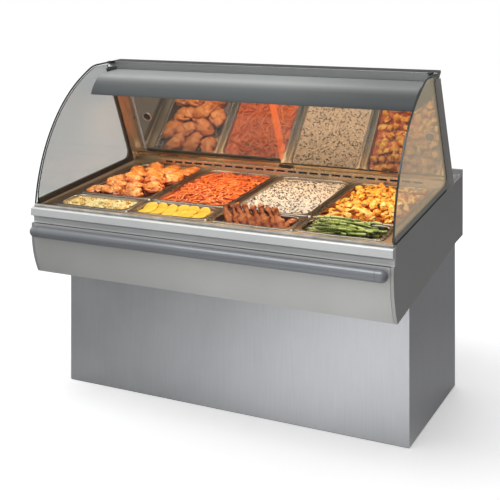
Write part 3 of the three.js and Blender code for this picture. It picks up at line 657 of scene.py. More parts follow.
# ------------------------------------------------------------------ cabinet shell
def build_shell():
    for node in ("pedestal_skirt",):
        refined(node, MAT["pedestal"], 1.2)
    for node in ("pedestal_rear_panel", "rear_panel", "rear_shelf"):
        refined(node, MAT["staff_steel"], 0.7)
    for node in ("side_panel_left", "side_panel_right"):
        refined(node, MAT["side"], 1.2)
    for node in ("pedestal_frame", "underside_panel", "heater_element"):
        refined(node, MAT["frame_steel"], 0.6)
    refined("front_sill", MAT["sill"], 1.0)
    refined("front_glass_seal", MAT["seal"], 0.8)
    finish_mesh("fascia_skin", prism(band(BELLY_PATH, 2), -INNER_HALF, INNER_HALF), MAT["belly"],
                "cabinet", 0.5, stands_for=("front_fascia",))
    build_bumper()


def build_bumper():
    """Round buffer rail with a flat back and two ball-nosed end caps."""
    radius, y, z, straight = 22.0, -95.0, -91.0, 672.0
    flat = math.acos((-73.8 - y) / radius)
    outline = [(y + radius * math.cos(t), z + radius * math.sin(t))
               for t in np.linspace(flat, 2 * math.pi - flat, 48)]
    finish_mesh("bumper_tube", prism(outline, -straight, straight), MAT["rail"], "cabinet",
                0.8, stands_for=("bumper_rail",))
    for side, name in ((-1, "left"), (1, "right")):
        rings = []
        for along in list(np.linspace(0, 18, 4)) + [18 + 22 * math.sin(a) for a in np.linspace(0.1, 1.5, 12)]:
            shrink = math.sqrt(max(0.02, 1 - max(0.0, (along - 18) / 22) ** 2))
            ring = [(side * (straight + 0.4 + along), y + shrink * (p[0] - y), z + shrink * (p[1] - z))
                    for p in outline]
            rings.append(ring)
        finish_mesh(f"bumper_cap_{name}", skinned(rings, CABINET), MAT["rail"], "cabinet", 0.6,
                    sharp=50)


# ------------------------------------------------------------------ glass house
def build_glass_house():
    finish_mesh("front_glass_pane", prism(band(GLASS_PATH, -GLASS), -GLASS_HALF + 2.8, GLASS_HALF - 2.8), MAT["glass"],
                "front_glass", 0.7, stands_for=("front_glass",))
    for side, name in ((-1, "left"), (1, "right")):
        edge = sorted((side * (GLASS_HALF - 2.6), side * (GLASS_HALF + 0.6)))
        strip = offset_path(GLASS_PATH, 0.5) + offset_path(GLASS_PATH, -GLASS - 0.5)[::-1]
        finish_mesh(f"front_glass_edge_{name}", prism(strip, *edge), MAT["glass_edge"], "front_glass",
                    0.4)
        refined(f"end_glass_{name}", MAT["smoked"], 0.6)
        refined(f"end_channel_{name}", MAT["channel"], 1.2)
        refined(f"post_{name}", MAT["post"], 1.2)
        refined(f"glass_clamp_{name}", MAT["plastic"], 0.8)
        refined(f"hinge_bracket_{name}", MAT["hinge"], 0.6)
        foot = [(-40, side_top(-40) + 0.2), (650, side_top(650) + 0.2),
                (650, side_top(650) + 5.5), (-40, side_top(-40) + 5.5)]
        edge = sorted((side * 721.2, side * 723.4))
        finish_mesh(f"side_gasket_{name}", prism(foot, *edge), MAT["rubber"], "cabinet", 0.8)
    refined("top_rail", MAT["top"], 1.2)


# ------------------------------------------------------------------ doors
PULL_HEIGHT = 188.0
DOORS = {"right": (5.0, 708.0, 0.0, 661.0), "left": (-660.0, 40.0, 15.0, -614.0)}   # left, right, face, pull


def slab(x0, x1, y0, y1, z0, z1, place=CABINET):
    return prism([(y0, z0), (y1, z0), (y1, z1), (y0, z1)], x0, x1, place)


def screw(name, place, radius, body):
    """A domed cross-head screw; its axis is z of the given place."""
    profile = [(0, 0.62 * radius), (0.45 * radius, 0.56 * radius), (0.8 * radius, 0.34 * radius), (radius, 0.0),
               (radius, -0.3), (0, -0.3)]
    head = turned(profile, place, 24)
    finish_mesh(name, head, MAT["stud"], body)
    # Painted shade: two black bars across the dome stand for the shade in the cross recess.
    for turn in (0, 90):
        bar = place @ Matrix.Rotation(math.radians(turn + 20), 4, "Z")
        reach = 0.55 * radius
        finish_mesh(f"{name}_slot_{turn}", slab(-reach, reach, -0.12 * radius, 0.12 * radius, 0.3 * radius,
                                                0.66 * radius, bar), MAT["rubber"], body)


def build_doors():
    refined("door_track_bottom", MAT["ledge"], 0.6)
    refined("door_track_top", MAT["top"], 0.6)
    for name, (left, right, face, pull) in DOORS.items():
        refined(f"mirror_door_{name}", MAT["mirror"], 0.5)
        refined(f"door_shoe_{name}", MAT["rubber"], 0.5)
        body = f"door_{name}"
        ring = [(16.6, 2.2), (17.0, -2.6), (18.4, -3.4), (20.6, -3.4), (22.0, -2.4), (22.0, -0.5), (18.8, -0.5),
                (18.4, 2.2)]
        lathe = [[(r * math.cos(t), face + y, r * math.sin(t)) for r, y in ring]
                 for t in (2 * math.pi * k / 48 for k in range(48))]
        place = DOORWAY @ Matrix.Translation((pull, 0, PULL_HEIGHT))
        finish_mesh(f"door_pull_rim_{name}", looped(lathe, place), MAT["stud"], body,
                    stands_for=(f"door_pull_{name}",))
        cup = [(0, 3.2), (15.5, 2.8), (17.2, -1.4), (18.2, -1.4), (18.2, 6.4), (17.4, 7.0), (0, 7.0)]
        turn = Matrix.Translation((0, face, 0)) @ Matrix.Rotation(math.radians(-90), 4, "X")
        finish_mesh(f"door_pull_cup_{name}", turned(cup, place @ turn, 40), MAT["rubber"], body)
    left, right, face, _ = DOORS["right"]
    finish_mesh("door_stile_right", slab(left - 0.6, left + 29, face - 1.5, face - 0.1, 9, DOOR_TOP - 12, DOORWAY),
                MAT["stud"], "door_right", 0.4)
    finish_mesh("door_guide_block", slab(-5, 61, -7.4, -6.1, -7, 4.4, DOORWAY), MAT["rubber"], "cabinet",
                0.5)
    for side, name in ((-1, "left"), (1, "right")):
        bumper = DOORWAY @ Matrix.Translation((side * 680, 11.6, PULL_HEIGHT - 8)) @ Matrix.Rotation(
            math.radians(90), 4, "X")
        finish_mesh(f"door_bumper_{name}", turned([(0, 5), (3.4, 4.6), (4.6, 3), (5, 0), (0, 0)], bumper, 20),
                    MAT["rubber"], "cabinet")
        high = DOORWAY @ Matrix.Translation((side * 689, 11.8, 300)) @ Matrix.Rotation(math.radians(90), 4, "X")
        screw(f"post_screw_{name}", high, 4.0, "cabinet")


# ------------------------------------------------------------------ hood
def build_hood():
    visor = bent_path((305, 408), 70, [(128, 5, 30), (105,)])
    rear_foot = (lean_y(-9, 430), 430)
    rear_top = (lean_y(-9, visor[-1][1] + 0.3), visor[-1][1] + 0.3)
    outline = visor + [rear_top, rear_foot]
    shell = joined(prism(band(outline, -2), -HOOD_HALF + 2.2, HOOD_HALF - 2.2),
                   prism(outline, -HOOD_HALF, -HOOD_HALF + 2), prism(outline, HOOD_HALF - 2, HOOD_HALF))
    finish_mesh("hood_visor", shell, MAT["hood"], "cabinet", 0.6, stands_for=("hood_shell",))
    refined("hood_tray", MAT["pan"], 0.5)
    for index in range(1, 5):
        refined(f"heat_lamp_{index}", MAT["lamp"], 0.0)


def glowing(name, color, low, high):
    """Frosted glass lit from inside."""
    paint = Paint(name, color, 0.2)
    frost = paint.noise(300.0, 2.0)
    paint.set("Emission Color", (*color, 1))
    paint.set("Emission Strength", paint.scaled(frost, low, high))
    return paint.material


# ------------------------------------------------------------------ deck and pans
def rounded_ring(half_x, half_y, corner, z, steps=10):
    ring = []
    for sx, sy, start in ((1, 1, 0), (-1, 1, 90), (-1, -1, 180), (1, -1, 270)):
        for i in range(steps + 1):
            angle = math.radians(start + 90 * i / steps)
            ring.append((sx * (half_x - corner) + corner * math.cos(angle),
                         sy * (half_y - corner) + corner * math.sin(angle), z))
    return ring


PAN_FLOOR = -61.0


def wall_inset(w):
    """How far a pan's inner wall stands in from its rim's edge, at a height in its frame."""
    return 15 + 9 * (-1 - w) / (-1 - PAN_FLOOR - 10)


def build_pan(column, full):
    """Deep-drawn pan: rolled rim, radiused shoulder, drafted walls and a radiused floor."""
    x = PAN_WIDTH / 2
    y = (FULL_LENGTH if full else THIRD_LENGTH) / 2
    gauge = 1.0
    inner = []
    for t in np.linspace(0, math.pi / 2, 5):
        inset = 34 - 10 * math.sin(t)
        inner.append(rounded_ring(x - inset, y - inset, 22 + 8 * math.sin(t), PAN_FLOOR + 10 * (1 - math.cos(t))))
    for t in np.linspace(0.15, 1, 4):
        inset = 24 - 9 * t
        inner.append(rounded_ring(x - inset, y - inset, 30 + 10 * t, PAN_FLOOR + 10 + (-1 - PAN_FLOOR - 10) * t))
    for t in np.linspace(0.3, math.pi / 2, 4):
        inset = 15 - 4 * (1 - math.cos(t))
        inner.append(rounded_ring(x - inset, y - inset, 41, -1 + 5 * math.sin(t)))
    rim = [(x - 4.0 + 4.0 * math.sin(t), 0.5 + 3.5 * math.cos(t)) for t in np.linspace(0, math.pi / 2, 5)]
    outer = [rounded_ring(rx, rx - x + y, 18 + rx - x, z) for rx, z in rim]
    under = [rounded_ring(x - gauge, y - gauge, 17, 0.4), rounded_ring(x - 3, y - 3, 15, 2.6),
             rounded_ring(x - 10, y - 10, 42, 2.6), rounded_ring(x - 23, y - 23, 32, PAN_FLOOR + 9),
             rounded_ring(x - 33, y - 33, 22, PAN_FLOOR - gauge)]
    name = f"{'full' if full else 'third'}_pan_{column}"
    bm = skinned(inner + outer + under, pan_frame(column, full))
    return finish_mesh(f"{name}_skin", bm, MAT["pan"], name, stands_for=(name,))


def build_deck():
    refined("deck_frame", MAT["deck"], 0.8)
    for node in ("cross_bar", "divider_bar_1", "divider_bar_2", "divider_bar_3"):
        refined(node, MAT["bar"], 0.8)
    refined("well_tub", MAT["well"], 0.5)
    refined("rear_ledge", MAT["ledge"], 0.5)
    # A near-black duct behind the ledge slots; its colour is painted shade that makes the slots read dark.
    painted_shade_duct = [(714.6, 68), (715.2, 88), (718, 88), (717.4, 68)]
    finish_mesh("ledge_duct_painted_shade", prism(painted_shade_duct, -INNER_HALF + 20, INNER_HALF - 20), MAT["slot_shade"], "cabinet",
                0.5)
    for column in range(1, 5):
        build_pan(column, False)
        build_pan(column, True)
    stud = [(0, 6.4), (2.6, 6.1), (4.2, 4.8), (5.0, 2.6), (5.0, 0.1), (0, 0.1)]
    for column in (-1, 0, 1):
        for row, y in (("front", 0.0), ("middle", THIRD_LENGTH + ROW_GAP / 2)):
            place = DECK @ Matrix.Translation((column * PAN_PITCH, y, 0))
            finish_mesh(f"bar_stud_{row}_{column + 2}", turned(stud, place, 20), MAT["bar_stud"], "cabinet")


# ------------------------------------------------------------------ food shapes
# A shape is a pair: its corners, in the millimetres of its pan's frame, and its faces.
FINE_BALL = 4
BALL = 3
SMALL_BALL = 2


def ball(subdivisions):
    bm = bmesh.new()
    bmesh.ops.create_icosphere(bm, subdivisions=subdivisions, radius=1)
    corners = np.array([v.co for v in bm.verts])
    faces = [[v.index for v in face.verts] for face in bm.faces]
    bm.free()
    return corners, faces


def lumpy(shape, rng, *waves):
    """Pushes a shape around the origin in and out by (frequency, depth) waves of noise."""
    shift = Vector([rng.uniform(-50, 50) for _ in range(3)])
    corners = []
    for corner in shape[0]:
        point = Vector(corner)
        swell = sum(depth * noise.noise(point * frequency + shift) for frequency, depth in waves)
        corners.append(point * (1 + swell))
    return np.array(corners), shape[1]


def knobbly(shape, rng, *waves):
    """Pushes each corner of a shape about by (frequency, depth in millimetres) waves of noise."""
    shift = Vector([rng.uniform(-50, 50) for _ in range(3)])
    corners = []
    for corner in shape[0]:
        point = Vector(corner)
        corners.append(point + sum((depth * noise.noise_vector(point * frequency + shift)
                                    for frequency, depth in waves), Vector()))
    return np.array(corners), shape[1]


def placed(shape, size, turn, centre):
    """Scales a shape along its own axes, turns it by degrees and sets it down."""
    turned = np.array(Euler([math.radians(angle) for angle in turn]).to_matrix())
    return (shape[0] * np.array(size)) @ turned.T + np.array(centre), shape[1]


def strand(points, radii, sides=10):
    vertices, faces = ring_skin(tube_rings(points, radii, sides))
    return np.array(vertices), faces


def heap(name, shapes, place, material, body):
    """All the shapes as one piece."""
    corners = np.vstack([shape[0] for shape in shapes])
    faces = []
    first = 0
    for shape in shapes:
        faces += [[first + index for index in face] for face in shape[1]]
        first += len(shape[0])
    spare = bpy.data.meshes.new("spare")
    spare.from_pydata(corners.tolist(), [], faces)
    bm = bmesh.new()
    bm.from_mesh(spare)
    bpy.data.meshes.remove(spare)
    bmesh.ops.transform(bm, matrix=place, verts=bm.verts)
    return finish_mesh(name, bm, material, body)


class Dish:
    """The room in one pan, and how its food is piled."""

    def __init__(self, column, full, level, crown, seed):
        self.rng = random.Random(seed)
        self.body = f"{'full' if full else 'third'}_pan_{column}"
        self.place = pan_frame(column, full)
        self.level = level
        self.crown = crown
        inset = wall_inset(level) + 0.4
        self.half_x = PAN_WIDTH / 2 - inset
        self.half_y = (FULL_LENGTH if full else THIRD_LENGTH) / 2 - inset

    def height(self, x, y):
        """The top of the pile: level at the walls and higher in the middle."""
        return self.level + self.crown * max(0.0, 1 - (x / self.half_x) ** 2) * max(0.0, 1 - (y / self.half_y) ** 2)

    def spot(self, margin):
        x = self.rng.uniform(margin - self.half_x, self.half_x - margin)
        y = self.rng.uniform(margin - self.half_y, self.half_y - margin)
        return x, y

    def grid(self, across, along, margin, jitter):
        """Rows of places that fill the dish, each a little off its row."""
        for j in range(along):
            for i in range(across):
                x = (margin - self.half_x) + (i + 0.5 * (j % 2)) * 2 * (self.half_x - margin) / (across - 0.5)
                y = (margin - self.half_y) + j * 2 * (self.half_y - margin) / max(1, along - 1)
                yield x + self.rng.uniform(-jitter, jitter), y + self.rng.uniform(-jitter, jitter)

    def bed(self, name, material, relief, step=5.0, thickness=14.0):
        """A closed slab with a rough top that fills the pan from wall to wall."""
        corner = 36.0
        across = int(2 * self.half_x / step)
        along = int(2 * self.half_y / step)
        top = []
        for j in range(along + 1):
            for i in range(across + 1):
                x = self.half_x * (2 * i / across - 1)
                y = self.half_y * (2 * j / along - 1)
                over = Vector((abs(x) - (self.half_x - corner), abs(y) - (self.half_y - corner)))
                if min(over) > 0:
                    drawn_in = over * (max(over) / over.length)
                    x = math.copysign(self.half_x - corner + drawn_in.x, x)
                    y = math.copysign(self.half_y - corner + drawn_in.y, y)
                rough = sum(depth * noise.noise(Vector((x, y, 7.0)) / size) for size, depth in relief)
                edge = min(1.0, 8 * (1 - max(abs(x) / self.half_x, abs(y) / self.half_y)))
                top.append((x, y, self.height(x, y) + rough * edge))
        low = [(x, y, self.level - thickness) for x, y, _ in top]
        row = across + 1
        faces = []
        for j in range(along):
            for i in range(across):
                a = j * row + i
                faces.append([a, a + 1, a + 1 + row, a + row])
                faces.append([a + row + len(top), a + row + 1 + len(top), a + 1 + len(top), a + len(top)])
        border = ([i for i in range(across)] + [across + j * row for j in range(along)]
                  + [along * row + i for i in range(across, 0, -1)] + [j * row for j in range(along, 0, -1)])
        for a, b in zip(border, border[1:] + border[:1]):
            faces.append([a, b, b + len(top), a + len(top)])
        heap(name, [(np.array(top + low), faces)], self.place, material, self.body)

    def add(self, name, shapes, material):
        heap(name, shapes, self.place, material, self.body)

    def flecks(self, name, count, size, material, lift=1.5):
        """Small flat leaves on top of the pile."""
        shapes = []
        for _ in range(count):
            x, y = self.spot(size[0] + 4)
            turn = (self.rng.uniform(-25, 25), self.rng.uniform(-25, 25), self.rng.uniform(0, 360))
            shapes.append(placed(ball(1), size, turn, (x, y, self.height(x, y) + lift + self.rng.uniform(0, 3))))
        self.add(name, shapes, material)


def half_chicken(rng):
    """A breast with its thigh, folded leg and wing, around the origin."""
    breast = lumpy(ball(FINE_BALL), rng, (0.9, 0.22), (2.4, 0.18), (6.0, 0.08), (11.0, 0.03))
    thigh = lumpy(ball(FINE_BALL), rng, (1.0, 0.16), (3.0, 0.10), (8.0, 0.03))
    leg_steps = 13
    leg = []
    wing = []
    for step in range(leg_steps):
        t = step / (leg_steps - 1)
        leg.append((-34 + 58 * t, -30 - 7 * math.sin(math.pi * t), 10 - 6 * t))
        wing.append((2 + 40 * math.sin(2.0 * t), 30 - 34 * t * t, 12 - 14 * t))
    leg_radii = [14.5 - 8.5 * math.sin(math.pi * step / 22) for step in range(leg_steps)]
    leg_radii[0] = 8
    leg_radii[-3:] = [7.5, 8.8, 4.5]
    wing_radii = [9.5 - 0.25 * step for step in range(leg_steps)]
    wing_radii[0] = 5
    wing_radii[-1] = 3
    return [placed(breast, (47, 35, 30), (0, 0, 0), (0, 0, 0)),
            placed(thigh, (29, 25, 22), (0, 0, 20), (-26, -20, 5)),
            lumpy(strand(leg, leg_radii, 16), rng, (0.05, 0.08), (0.16, 0.05)),
            lumpy(strand(wing, wing_radii, 14), rng, (0.06, 0.08), (0.20, 0.05))]


def roast_chicken():
    """Half chickens heaped side by side over dark pan juice, with painted shade darkening them where they meet."""
    dish = Dish(1, True, -20, 14, 11)
    dish.bed("food_chicken_juice", FOOD["juice"], [(30, 3), (9, 1.5)])
    shapes = []
    for x, y in dish.grid(3, 6, 42, 6):
        tilt = (dish.rng.uniform(-14, 14), dish.rng.uniform(-12, 12),
                dish.rng.uniform(-45, 45) + dish.rng.choice((0, 180)))
        grow = dish.rng.uniform(0.98, 1.10)
        size = (grow, grow * dish.rng.choice((-1, 1)), grow)
        centre = (x, y, dish.height(x, y) + 6 + dish.rng.uniform(-4, 9))
        for part in half_chicken(dish.rng):
            shapes.append(placed(part, size, tilt, centre))
    dish.add("food_chicken", shapes, FOOD["chicken"])


def saucy_noodles():
    dish = Dish(2, True, -11, 12, 22)
    dish.bed("food_noodle_sauce", FOOD["sauce"], [(34, 6), (11, 4), (5, 1.2)], 4.0)
    shapes = []
    stride = 6.0
    for _ in range(300):
        x, y = dish.spot(22)
        heading = dish.rng.uniform(0, 2 * math.pi)
        curl = dish.rng.uniform(-0.25, 0.25)
        wave = dish.rng.uniform(0, 6)
        lift = dish.rng.uniform(0, 8)
        points = []
        for step in range(dish.rng.randint(9, 16)):
            points.append((x, y, dish.height(x, y) + lift + 3.0 * math.sin(wave + step * 0.6)))
            x += stride * math.cos(heading)
            y += stride * math.sin(heading)
            heading += curl + 0.3 * math.sin(wave + step * 0.9)
            x = max(7 - dish.half_x, min(dish.half_x - 7, x))
            y = max(7 - dish.half_y, min(dish.half_y - 7, y))
        radius = dish.rng.uniform(2.9, 4.3)
        radii = [radius * 0.5] + [radius] * (len(points) - 2) + [radius * 0.5]
        shapes.append(strand(points, radii, 8))
    dish.add("food_noodles", shapes, FOOD["noodle"])


def wild_rice():
    """White rice with long black grains through it."""
    dish = Dish(3, True, -9, 11, 33)
    swell = (40, 4)
    dish.bed("food_rice_bed", FOOD["rice_bed"], [swell, (6, 1.6), (3, 0.8)], 3.5)
    grain = ball(1)
    for name, count, length, girth, look in (("food_rice_grains", 4200, 4.6, 1.6, "rice"),
                                             ("food_rice_wild_grains", 820, 5.4, 2.1, "wild_rice")):
        shapes = []
        for _ in range(count):
            x, y = dish.spot(5)
            turn = (0, dish.rng.uniform(-30, 30), dish.rng.uniform(0, 360))
            grow = dish.rng.uniform(0.8, 1.15)
            z = dish.height(x, y) + swell[1] * noise.noise(Vector((x, y, 7.0)) / swell[0])
            z += dish.rng.uniform(0.6, 2.4) + (0.9 if look == "wild_rice" else 0)
            shapes.append(placed(grain, (length * grow, girth * grow, girth * 0.85), turn, (x, y, z)))
        dish.add(name, shapes, FOOD[look])


def herbed_potatoes():
    dish = Dish(4, True, -16, 14, 44)
    dish.bed("food_potato_sauce", FOOD["potato_sauce"], [(26, 4), (9, 2)])
    shapes = []
    spots = list(dish.grid(8, 12, 21, 7)) + [dish.spot(44) for _ in range(40)]
    for x, y in spots:
        size = [dish.rng.uniform(14, 24), dish.rng.uniform(12, 18), dish.rng.uniform(9, 13)]
        turn = (dish.rng.uniform(-40, 40), dish.rng.uniform(-40, 40), dish.rng.uniform(0, 180))
        lump = lumpy(ball(BALL), dish.rng, (1.1, 0.45), (2.6, 0.2), (5.5, 0.06))
        shapes.append(placed(lump, size, turn, (x, y, dish.height(x, y) + dish.rng.uniform(1, 13))))
    dish.add("food_potatoes", shapes, FOOD["potato"])
    dish.flecks("food_potato_herbs", 240, (8.5, 1.8, 1.1), FOOD["herb"], 15)


def browned_gratin():
    dish = Dish(1, False, -8, 6, 55)
    dish.bed("food_gratin", FOOD["gratin"], [(30, 4), (12, 4.5), (5, 1.6)], 3.0)
    shapes = []
    for _ in range(90):
        x, y = dish.spot(11)
        turn = [dish.rng.uniform(-40, 40) for _ in range(3)]
        size = [dish.rng.uniform(5, 11), dish.rng.uniform(4, 8), dish.rng.uniform(2.5, 5)]
        lump = lumpy(ball(SMALL_BALL), dish.rng, (1.4, 0.4))
        shapes.append(placed(lump, size, turn, (x, y, dish.height(x, y) + dish.rng.uniform(-1, 2.5))))
    dish.add("food_gratin_crust", shapes, FOOD["gratin"])
    dish.flecks("food_gratin_herbs", 44, (4.2, 2.0, 0.8), FOOD["herb"], 3)


def yellow_slices():
    """Thick round slices leaning back in one overlapping row, with more of them flat in front."""
    dish = Dish(2, False, -8, 3, 66)
    dish.bed("food_slice_sauce", FOOD["slice_sauce"], [(20, 3), (8, 2)])
    disc = ball(FINE_BALL)
    flat = (np.sign(disc[0]) * np.abs(disc[0]) ** np.array([1.0, 1.0, 0.7]), disc[1])
    shapes = []
    for y, z, tilt, count, pitch, radius in ((-38, -6, 2, 6, 45, 35), (-16, -4, 10, 6, 44, 34), (4, -2, 32, 6, 45, 31)):
        for step in range(count):
            x = (step - (count - 1) / 2) * pitch + dish.rng.uniform(-3, 3)
            size = (radius + dish.rng.uniform(-2, 2), radius + dish.rng.uniform(-2, 2), 8.0)
            turn = (tilt + dish.rng.uniform(-4, 4), dish.rng.uniform(-12, -4), dish.rng.uniform(-8, 4))
            piece = lumpy(flat, dish.rng, (1.2, 0.08), (4.0, 0.02))
            shapes.append(placed(piece, size, turn, (x, y, z + dish.rng.uniform(-2, 2))))
    dish.add("food_yellow_slices", shapes, FOOD["yellow"])


def drumsticks():
    """Fried drumsticks standing in one row, their ends leaning to the left over smaller pieces in front."""
    dish = Dish(3, False, -24, 6, 77)
    dish.bed("food_drumstick_juice", FOOD["juice"], [(20, 3), (7, 1)])
    shapes = []
    steps = 21
    for index in range(8):
        x = -88 + index * 29.5 + dish.rng.uniform(-3, 3)
        tall = dish.rng.uniform(66, 78)
        lean = dish.rng.uniform(-62, -48)
        bow = dish.rng.uniform(-4, 8)
        y = -34 + dish.rng.uniform(-3, 3)
        points = []
        radii = []
        for step in range(steps):
            t = step / (steps - 1)
            reach = x + lean * t + bow * math.sin(math.pi * t)
            points.append((max(20 - dish.half_x, reach), y + 46 * t, -24 + tall * t))
            neck = min(1.0, max(0.0, (t - 0.28) / 0.42))
            knob = max(0.0, (t - 0.82) / 0.18)
            radii.append(22 - 12 * neck * neck * (3 - 2 * neck) + 4 * math.sin(math.pi * 0.6 * knob))
        radii[0] = 14
        radii[-2:] = [11.5, 6.0]
        shapes.append(knobbly(strand(points, radii, 24), dish.rng, (0.045, 5.0), (0.11, 3.0), (0.28, 1.0)))
        lump = lumpy(ball(BALL), dish.rng, (1.0, 0.3), (2.6, 0.14), (6.0, 0.05))
        shapes.append(placed(lump, (20, 22, 17), (0, dish.rng.uniform(-30, 30), 0),
                             (x + dish.rng.uniform(-6, 6), -42, -20)))
    for y in (-22, 10, 38):
        lump = lumpy(ball(BALL), dish.rng, (1.0, 0.3), (2.6, 0.14), (6.0, 0.05))
        shapes.append(placed(lump, (17, 20, 16), (0, 0, dish.rng.uniform(-30, 30)), (120, y, -12)))
    dish.add("food_drumsticks", shapes, FOOD["drumstick"])


def asparagus():
    """Cooked spears in a loose heap, most tips to the left, with scales closing over the tips."""
    dish = Dish(4, False, -15, 4, 88)
    dish.bed("food_asparagus_oil", FOOD["juice"], [(20, 2)])
    spears = []
    scales = []
    steps = 21
    tips_from = 15
    side = dish.half_y - 10
    end = dish.half_x - 8
    count = 50
    for index in range(count):
        way = -1 if dish.rng.random() < 0.8 else 1
        heading = math.radians(dish.rng.gauss(5, 17))
        bend = dish.rng.uniform(-32, 32)
        thick = dish.rng.uniform(4.4, 6.8)
        length = dish.rng.uniform(130, 215)
        middle = (dish.rng.uniform(-0.5, 0.5) * (2 * end - length), dish.rng.uniform(-side, side))
        base = -10 + 30 * index / count
        points = []
        radii = []
        for step in range(steps):
            t = step / (steps - 1)
            along = (t - 0.5) * length * way
            x = middle[0] + along * math.cos(heading)
            y = middle[1] + along * math.sin(heading) + bend * (math.sin(math.pi * t) - 0.5)
            z = base + 4 * math.sin(4 * t + index)
            points.append((max(-end, min(end, x)), max(-side, min(side, y)), z))
            tip = max(0.0, (t - 0.76) / 0.24)
            bud = 0.34 * math.sin(math.pi * 0.9 * tip)
            radii.append(thick * (0.92 - 0.12 * t + bud) * (1 - 0.85 * tip ** 3))
        radii[0] = thick * 0.8
        spears.append(strand(points, radii, 12))
        for step in range(4, steps - 1):
            closed = step >= tips_from
            for leaf in range(5 if closed else 1):
                angle = leaf * 72 + step * 40 if closed else dish.rng.uniform(0, 360)
                out = radii[step] * 0.92
                centre = (points[step][0], points[step][1] + out * math.cos(math.radians(angle)),
                          points[step][2] + out * math.sin(math.radians(angle)))
                size = (6.6 if closed else 4.6, 2.2, 1.0)
                scales.append(placed(ball(1), size, (angle - 90, 10 * way, math.degrees(heading)), centre))
    dish.add("food_asparagus", spears, FOOD["asparagus"])
    dish.add("food_asparagus_scales", scales, FOOD["asparagus_tip"])


# ------------------------------------------------------------------ controls
KNOBS = {"knob_lamp_heat": 470.0, "knob_well_heat": 590.0}
SWITCHES = {"switch_power": 250.0, "switch_light": 330.0}
CONTROL_HEIGHT = -30.0
PILOT_RISE = 46.0
REAR_FACE = 886.0


def facing_staff(x, y, z):
    """A frame on a rear face: z points away from it, towards the staff."""
    return CABINET @ Matrix.Translation((x, y, z)) @ Matrix.Rotation(math.radians(-90), 4, "X")


def build_knob(node, x):
    """A skirted knob with a fluted grip and a pale pointer, plain marks round its travel and a pilot lamp."""
    place = facing_staff(x, REAR_FACE, CONTROL_HEIGHT)
    skirt = turned([(0, 0.3), (21, 0.3), (21, 3.2), (19.4, 5.0), (0, 5.0)], place, 48)
    flutes = 12
    rings = []
    for height, grow in ((4.6, 1.0), (19.6, 0.94), (21.2, 0.88), (21.6, 0.5)):
        rings.append([(grow * r * math.cos(t), grow * r * math.sin(t), height)
                      for r, t in ((15.4 - 1.1 * math.cos(flutes * a) ** 2, a)
                                   for a in (2 * math.pi * k / 96 for k in range(96)))])
    body = body_of(node)
    finish_mesh(f"{node}_grip", joined(skirt, skinned(rings, place)), MAT["plastic"], body,
                stands_for=(node,))
    finish_mesh(f"{node}_pointer", slab(-1.4, 1.4, -14.0, -2.0, 21.0, 22.2, place), MAT["print"], body)
    for mark in range(7):
        turn = place @ Matrix.Rotation(math.radians(45 * mark), 4, "Z")
        long = 4.0 if mark % 3 else 7.0
        finish_mesh(f"{node}_mark_{mark}", slab(-0.9, 0.9, -24 - long, -24, 0.0, 0.2, turn), MAT["print"],
                    "cabinet")
    pilot = facing_staff(x, REAR_FACE, CONTROL_HEIGHT + PILOT_RISE)
    finish_mesh(f"{node}_pilot_rim", turned([(0, 0), (6.4, 0), (6.4, 1.6), (5.2, 2.4), (0, 2.4)], pilot, 28),
                MAT["stud"], "cabinet")
    finish_mesh(f"{node}_pilot_lens", turned([(0, 1), (4.6, 1), (4.6, 2.8), (3.4, 4.4), (0, 5.0)], pilot, 28),
                MAT["pilot"], "cabinet")


def build_switch(node, x):
    """A rocker in a moulded bezel, with one plain mark."""
    refined(node, MAT["plastic"], 0.6)
    place = facing_staff(x, REAR_FACE, CONTROL_HEIGHT)
    bars = [slab(-15, 15, side * 16.9 - 1.5, side * 16.9 + 1.5, 0.0, 2.0, place) for side in (-1, 1)]
    bars += [slab(side * 13.4 - 1.5, side * 13.4 + 1.5, -15.6, 15.6, 0.0, 2.0, place) for side in (-1, 1)]
    finish_mesh(f"{node}_bezel", joined(*bars), MAT["plastic"], "cabinet", 0.4)
    finish_mesh(f"{node}_mark", slab(-2.5, 2.5, -17.6, -16.2, 2.0, 2.2, place), MAT["print"], "cabinet")


def box_of(node):
    """The corners of a CAD node in the cabinet frame, in millimetres."""
    inward = CABINET.inverted()
    corners = np.array([inward @ v.co for v in frame["nodes"][node].data.vertices])
    return corners.min(axis=0), corners.max(axis=0)


def build_panel_screws():
    for node, edge in (("rear_panel", 14.0), ("pedestal_rear_panel", 20.0)):
        low, high = box_of(node)
        for column, x in enumerate(np.linspace(low[0] + edge, high[0] - edge, 4)):
            for row, z in enumerate((low[2] + edge, high[2] - edge)):
                screw(f"{node}_screw_{row}_{column}", facing_staff(x, high[1] + 0.1, z), 4.5, "cabinet")


def build_cable():
    """The mains lead with a ribbed sleeve where it leaves the case and grip rings on its plug."""
    refined("power_cable", MAT["rubber"], 0.0)
    sleeve = [(0, 0), (9, 0), (9, -7)]
    for rib in range(6):
        sleeve += [(7.4 - 0.3 * rib, -8 - 5 * rib), (6.4 - 0.3 * rib, -11 - 5 * rib)]
    sleeve.append((0, -38))
    finish_mesh("cable_sleeve", turned(sleeve, CABINET @ Matrix.Translation((600, 873, -166)), 28), MAT["rubber"],
                "cabinet")
    for ring in range(4):
        profile = [(0, -1.4), (22.2, -1.4), (22.8, 0), (22.2, 1.4), (0, 1.4)]
        place = CABINET @ Matrix.Translation((600, 882, -678 + 7 * ring))
        finish_mesh(f"plug_ring_{ring}", turned(profile, place, 32), MAT["plastic"], "cabinet")
    for side in (-1, 1):
        place = CABINET @ Matrix.Translation((600 + 9.5 * side, 882, -690))
        finish_mesh(f"plug_pin_{'left' if side < 0 else 'right'}",
                    turned([(0, 1), (2.4, 1), (2.4, -17), (1.6, -19), (0, -19)], place, 20), MAT["brass"], "cabinet")


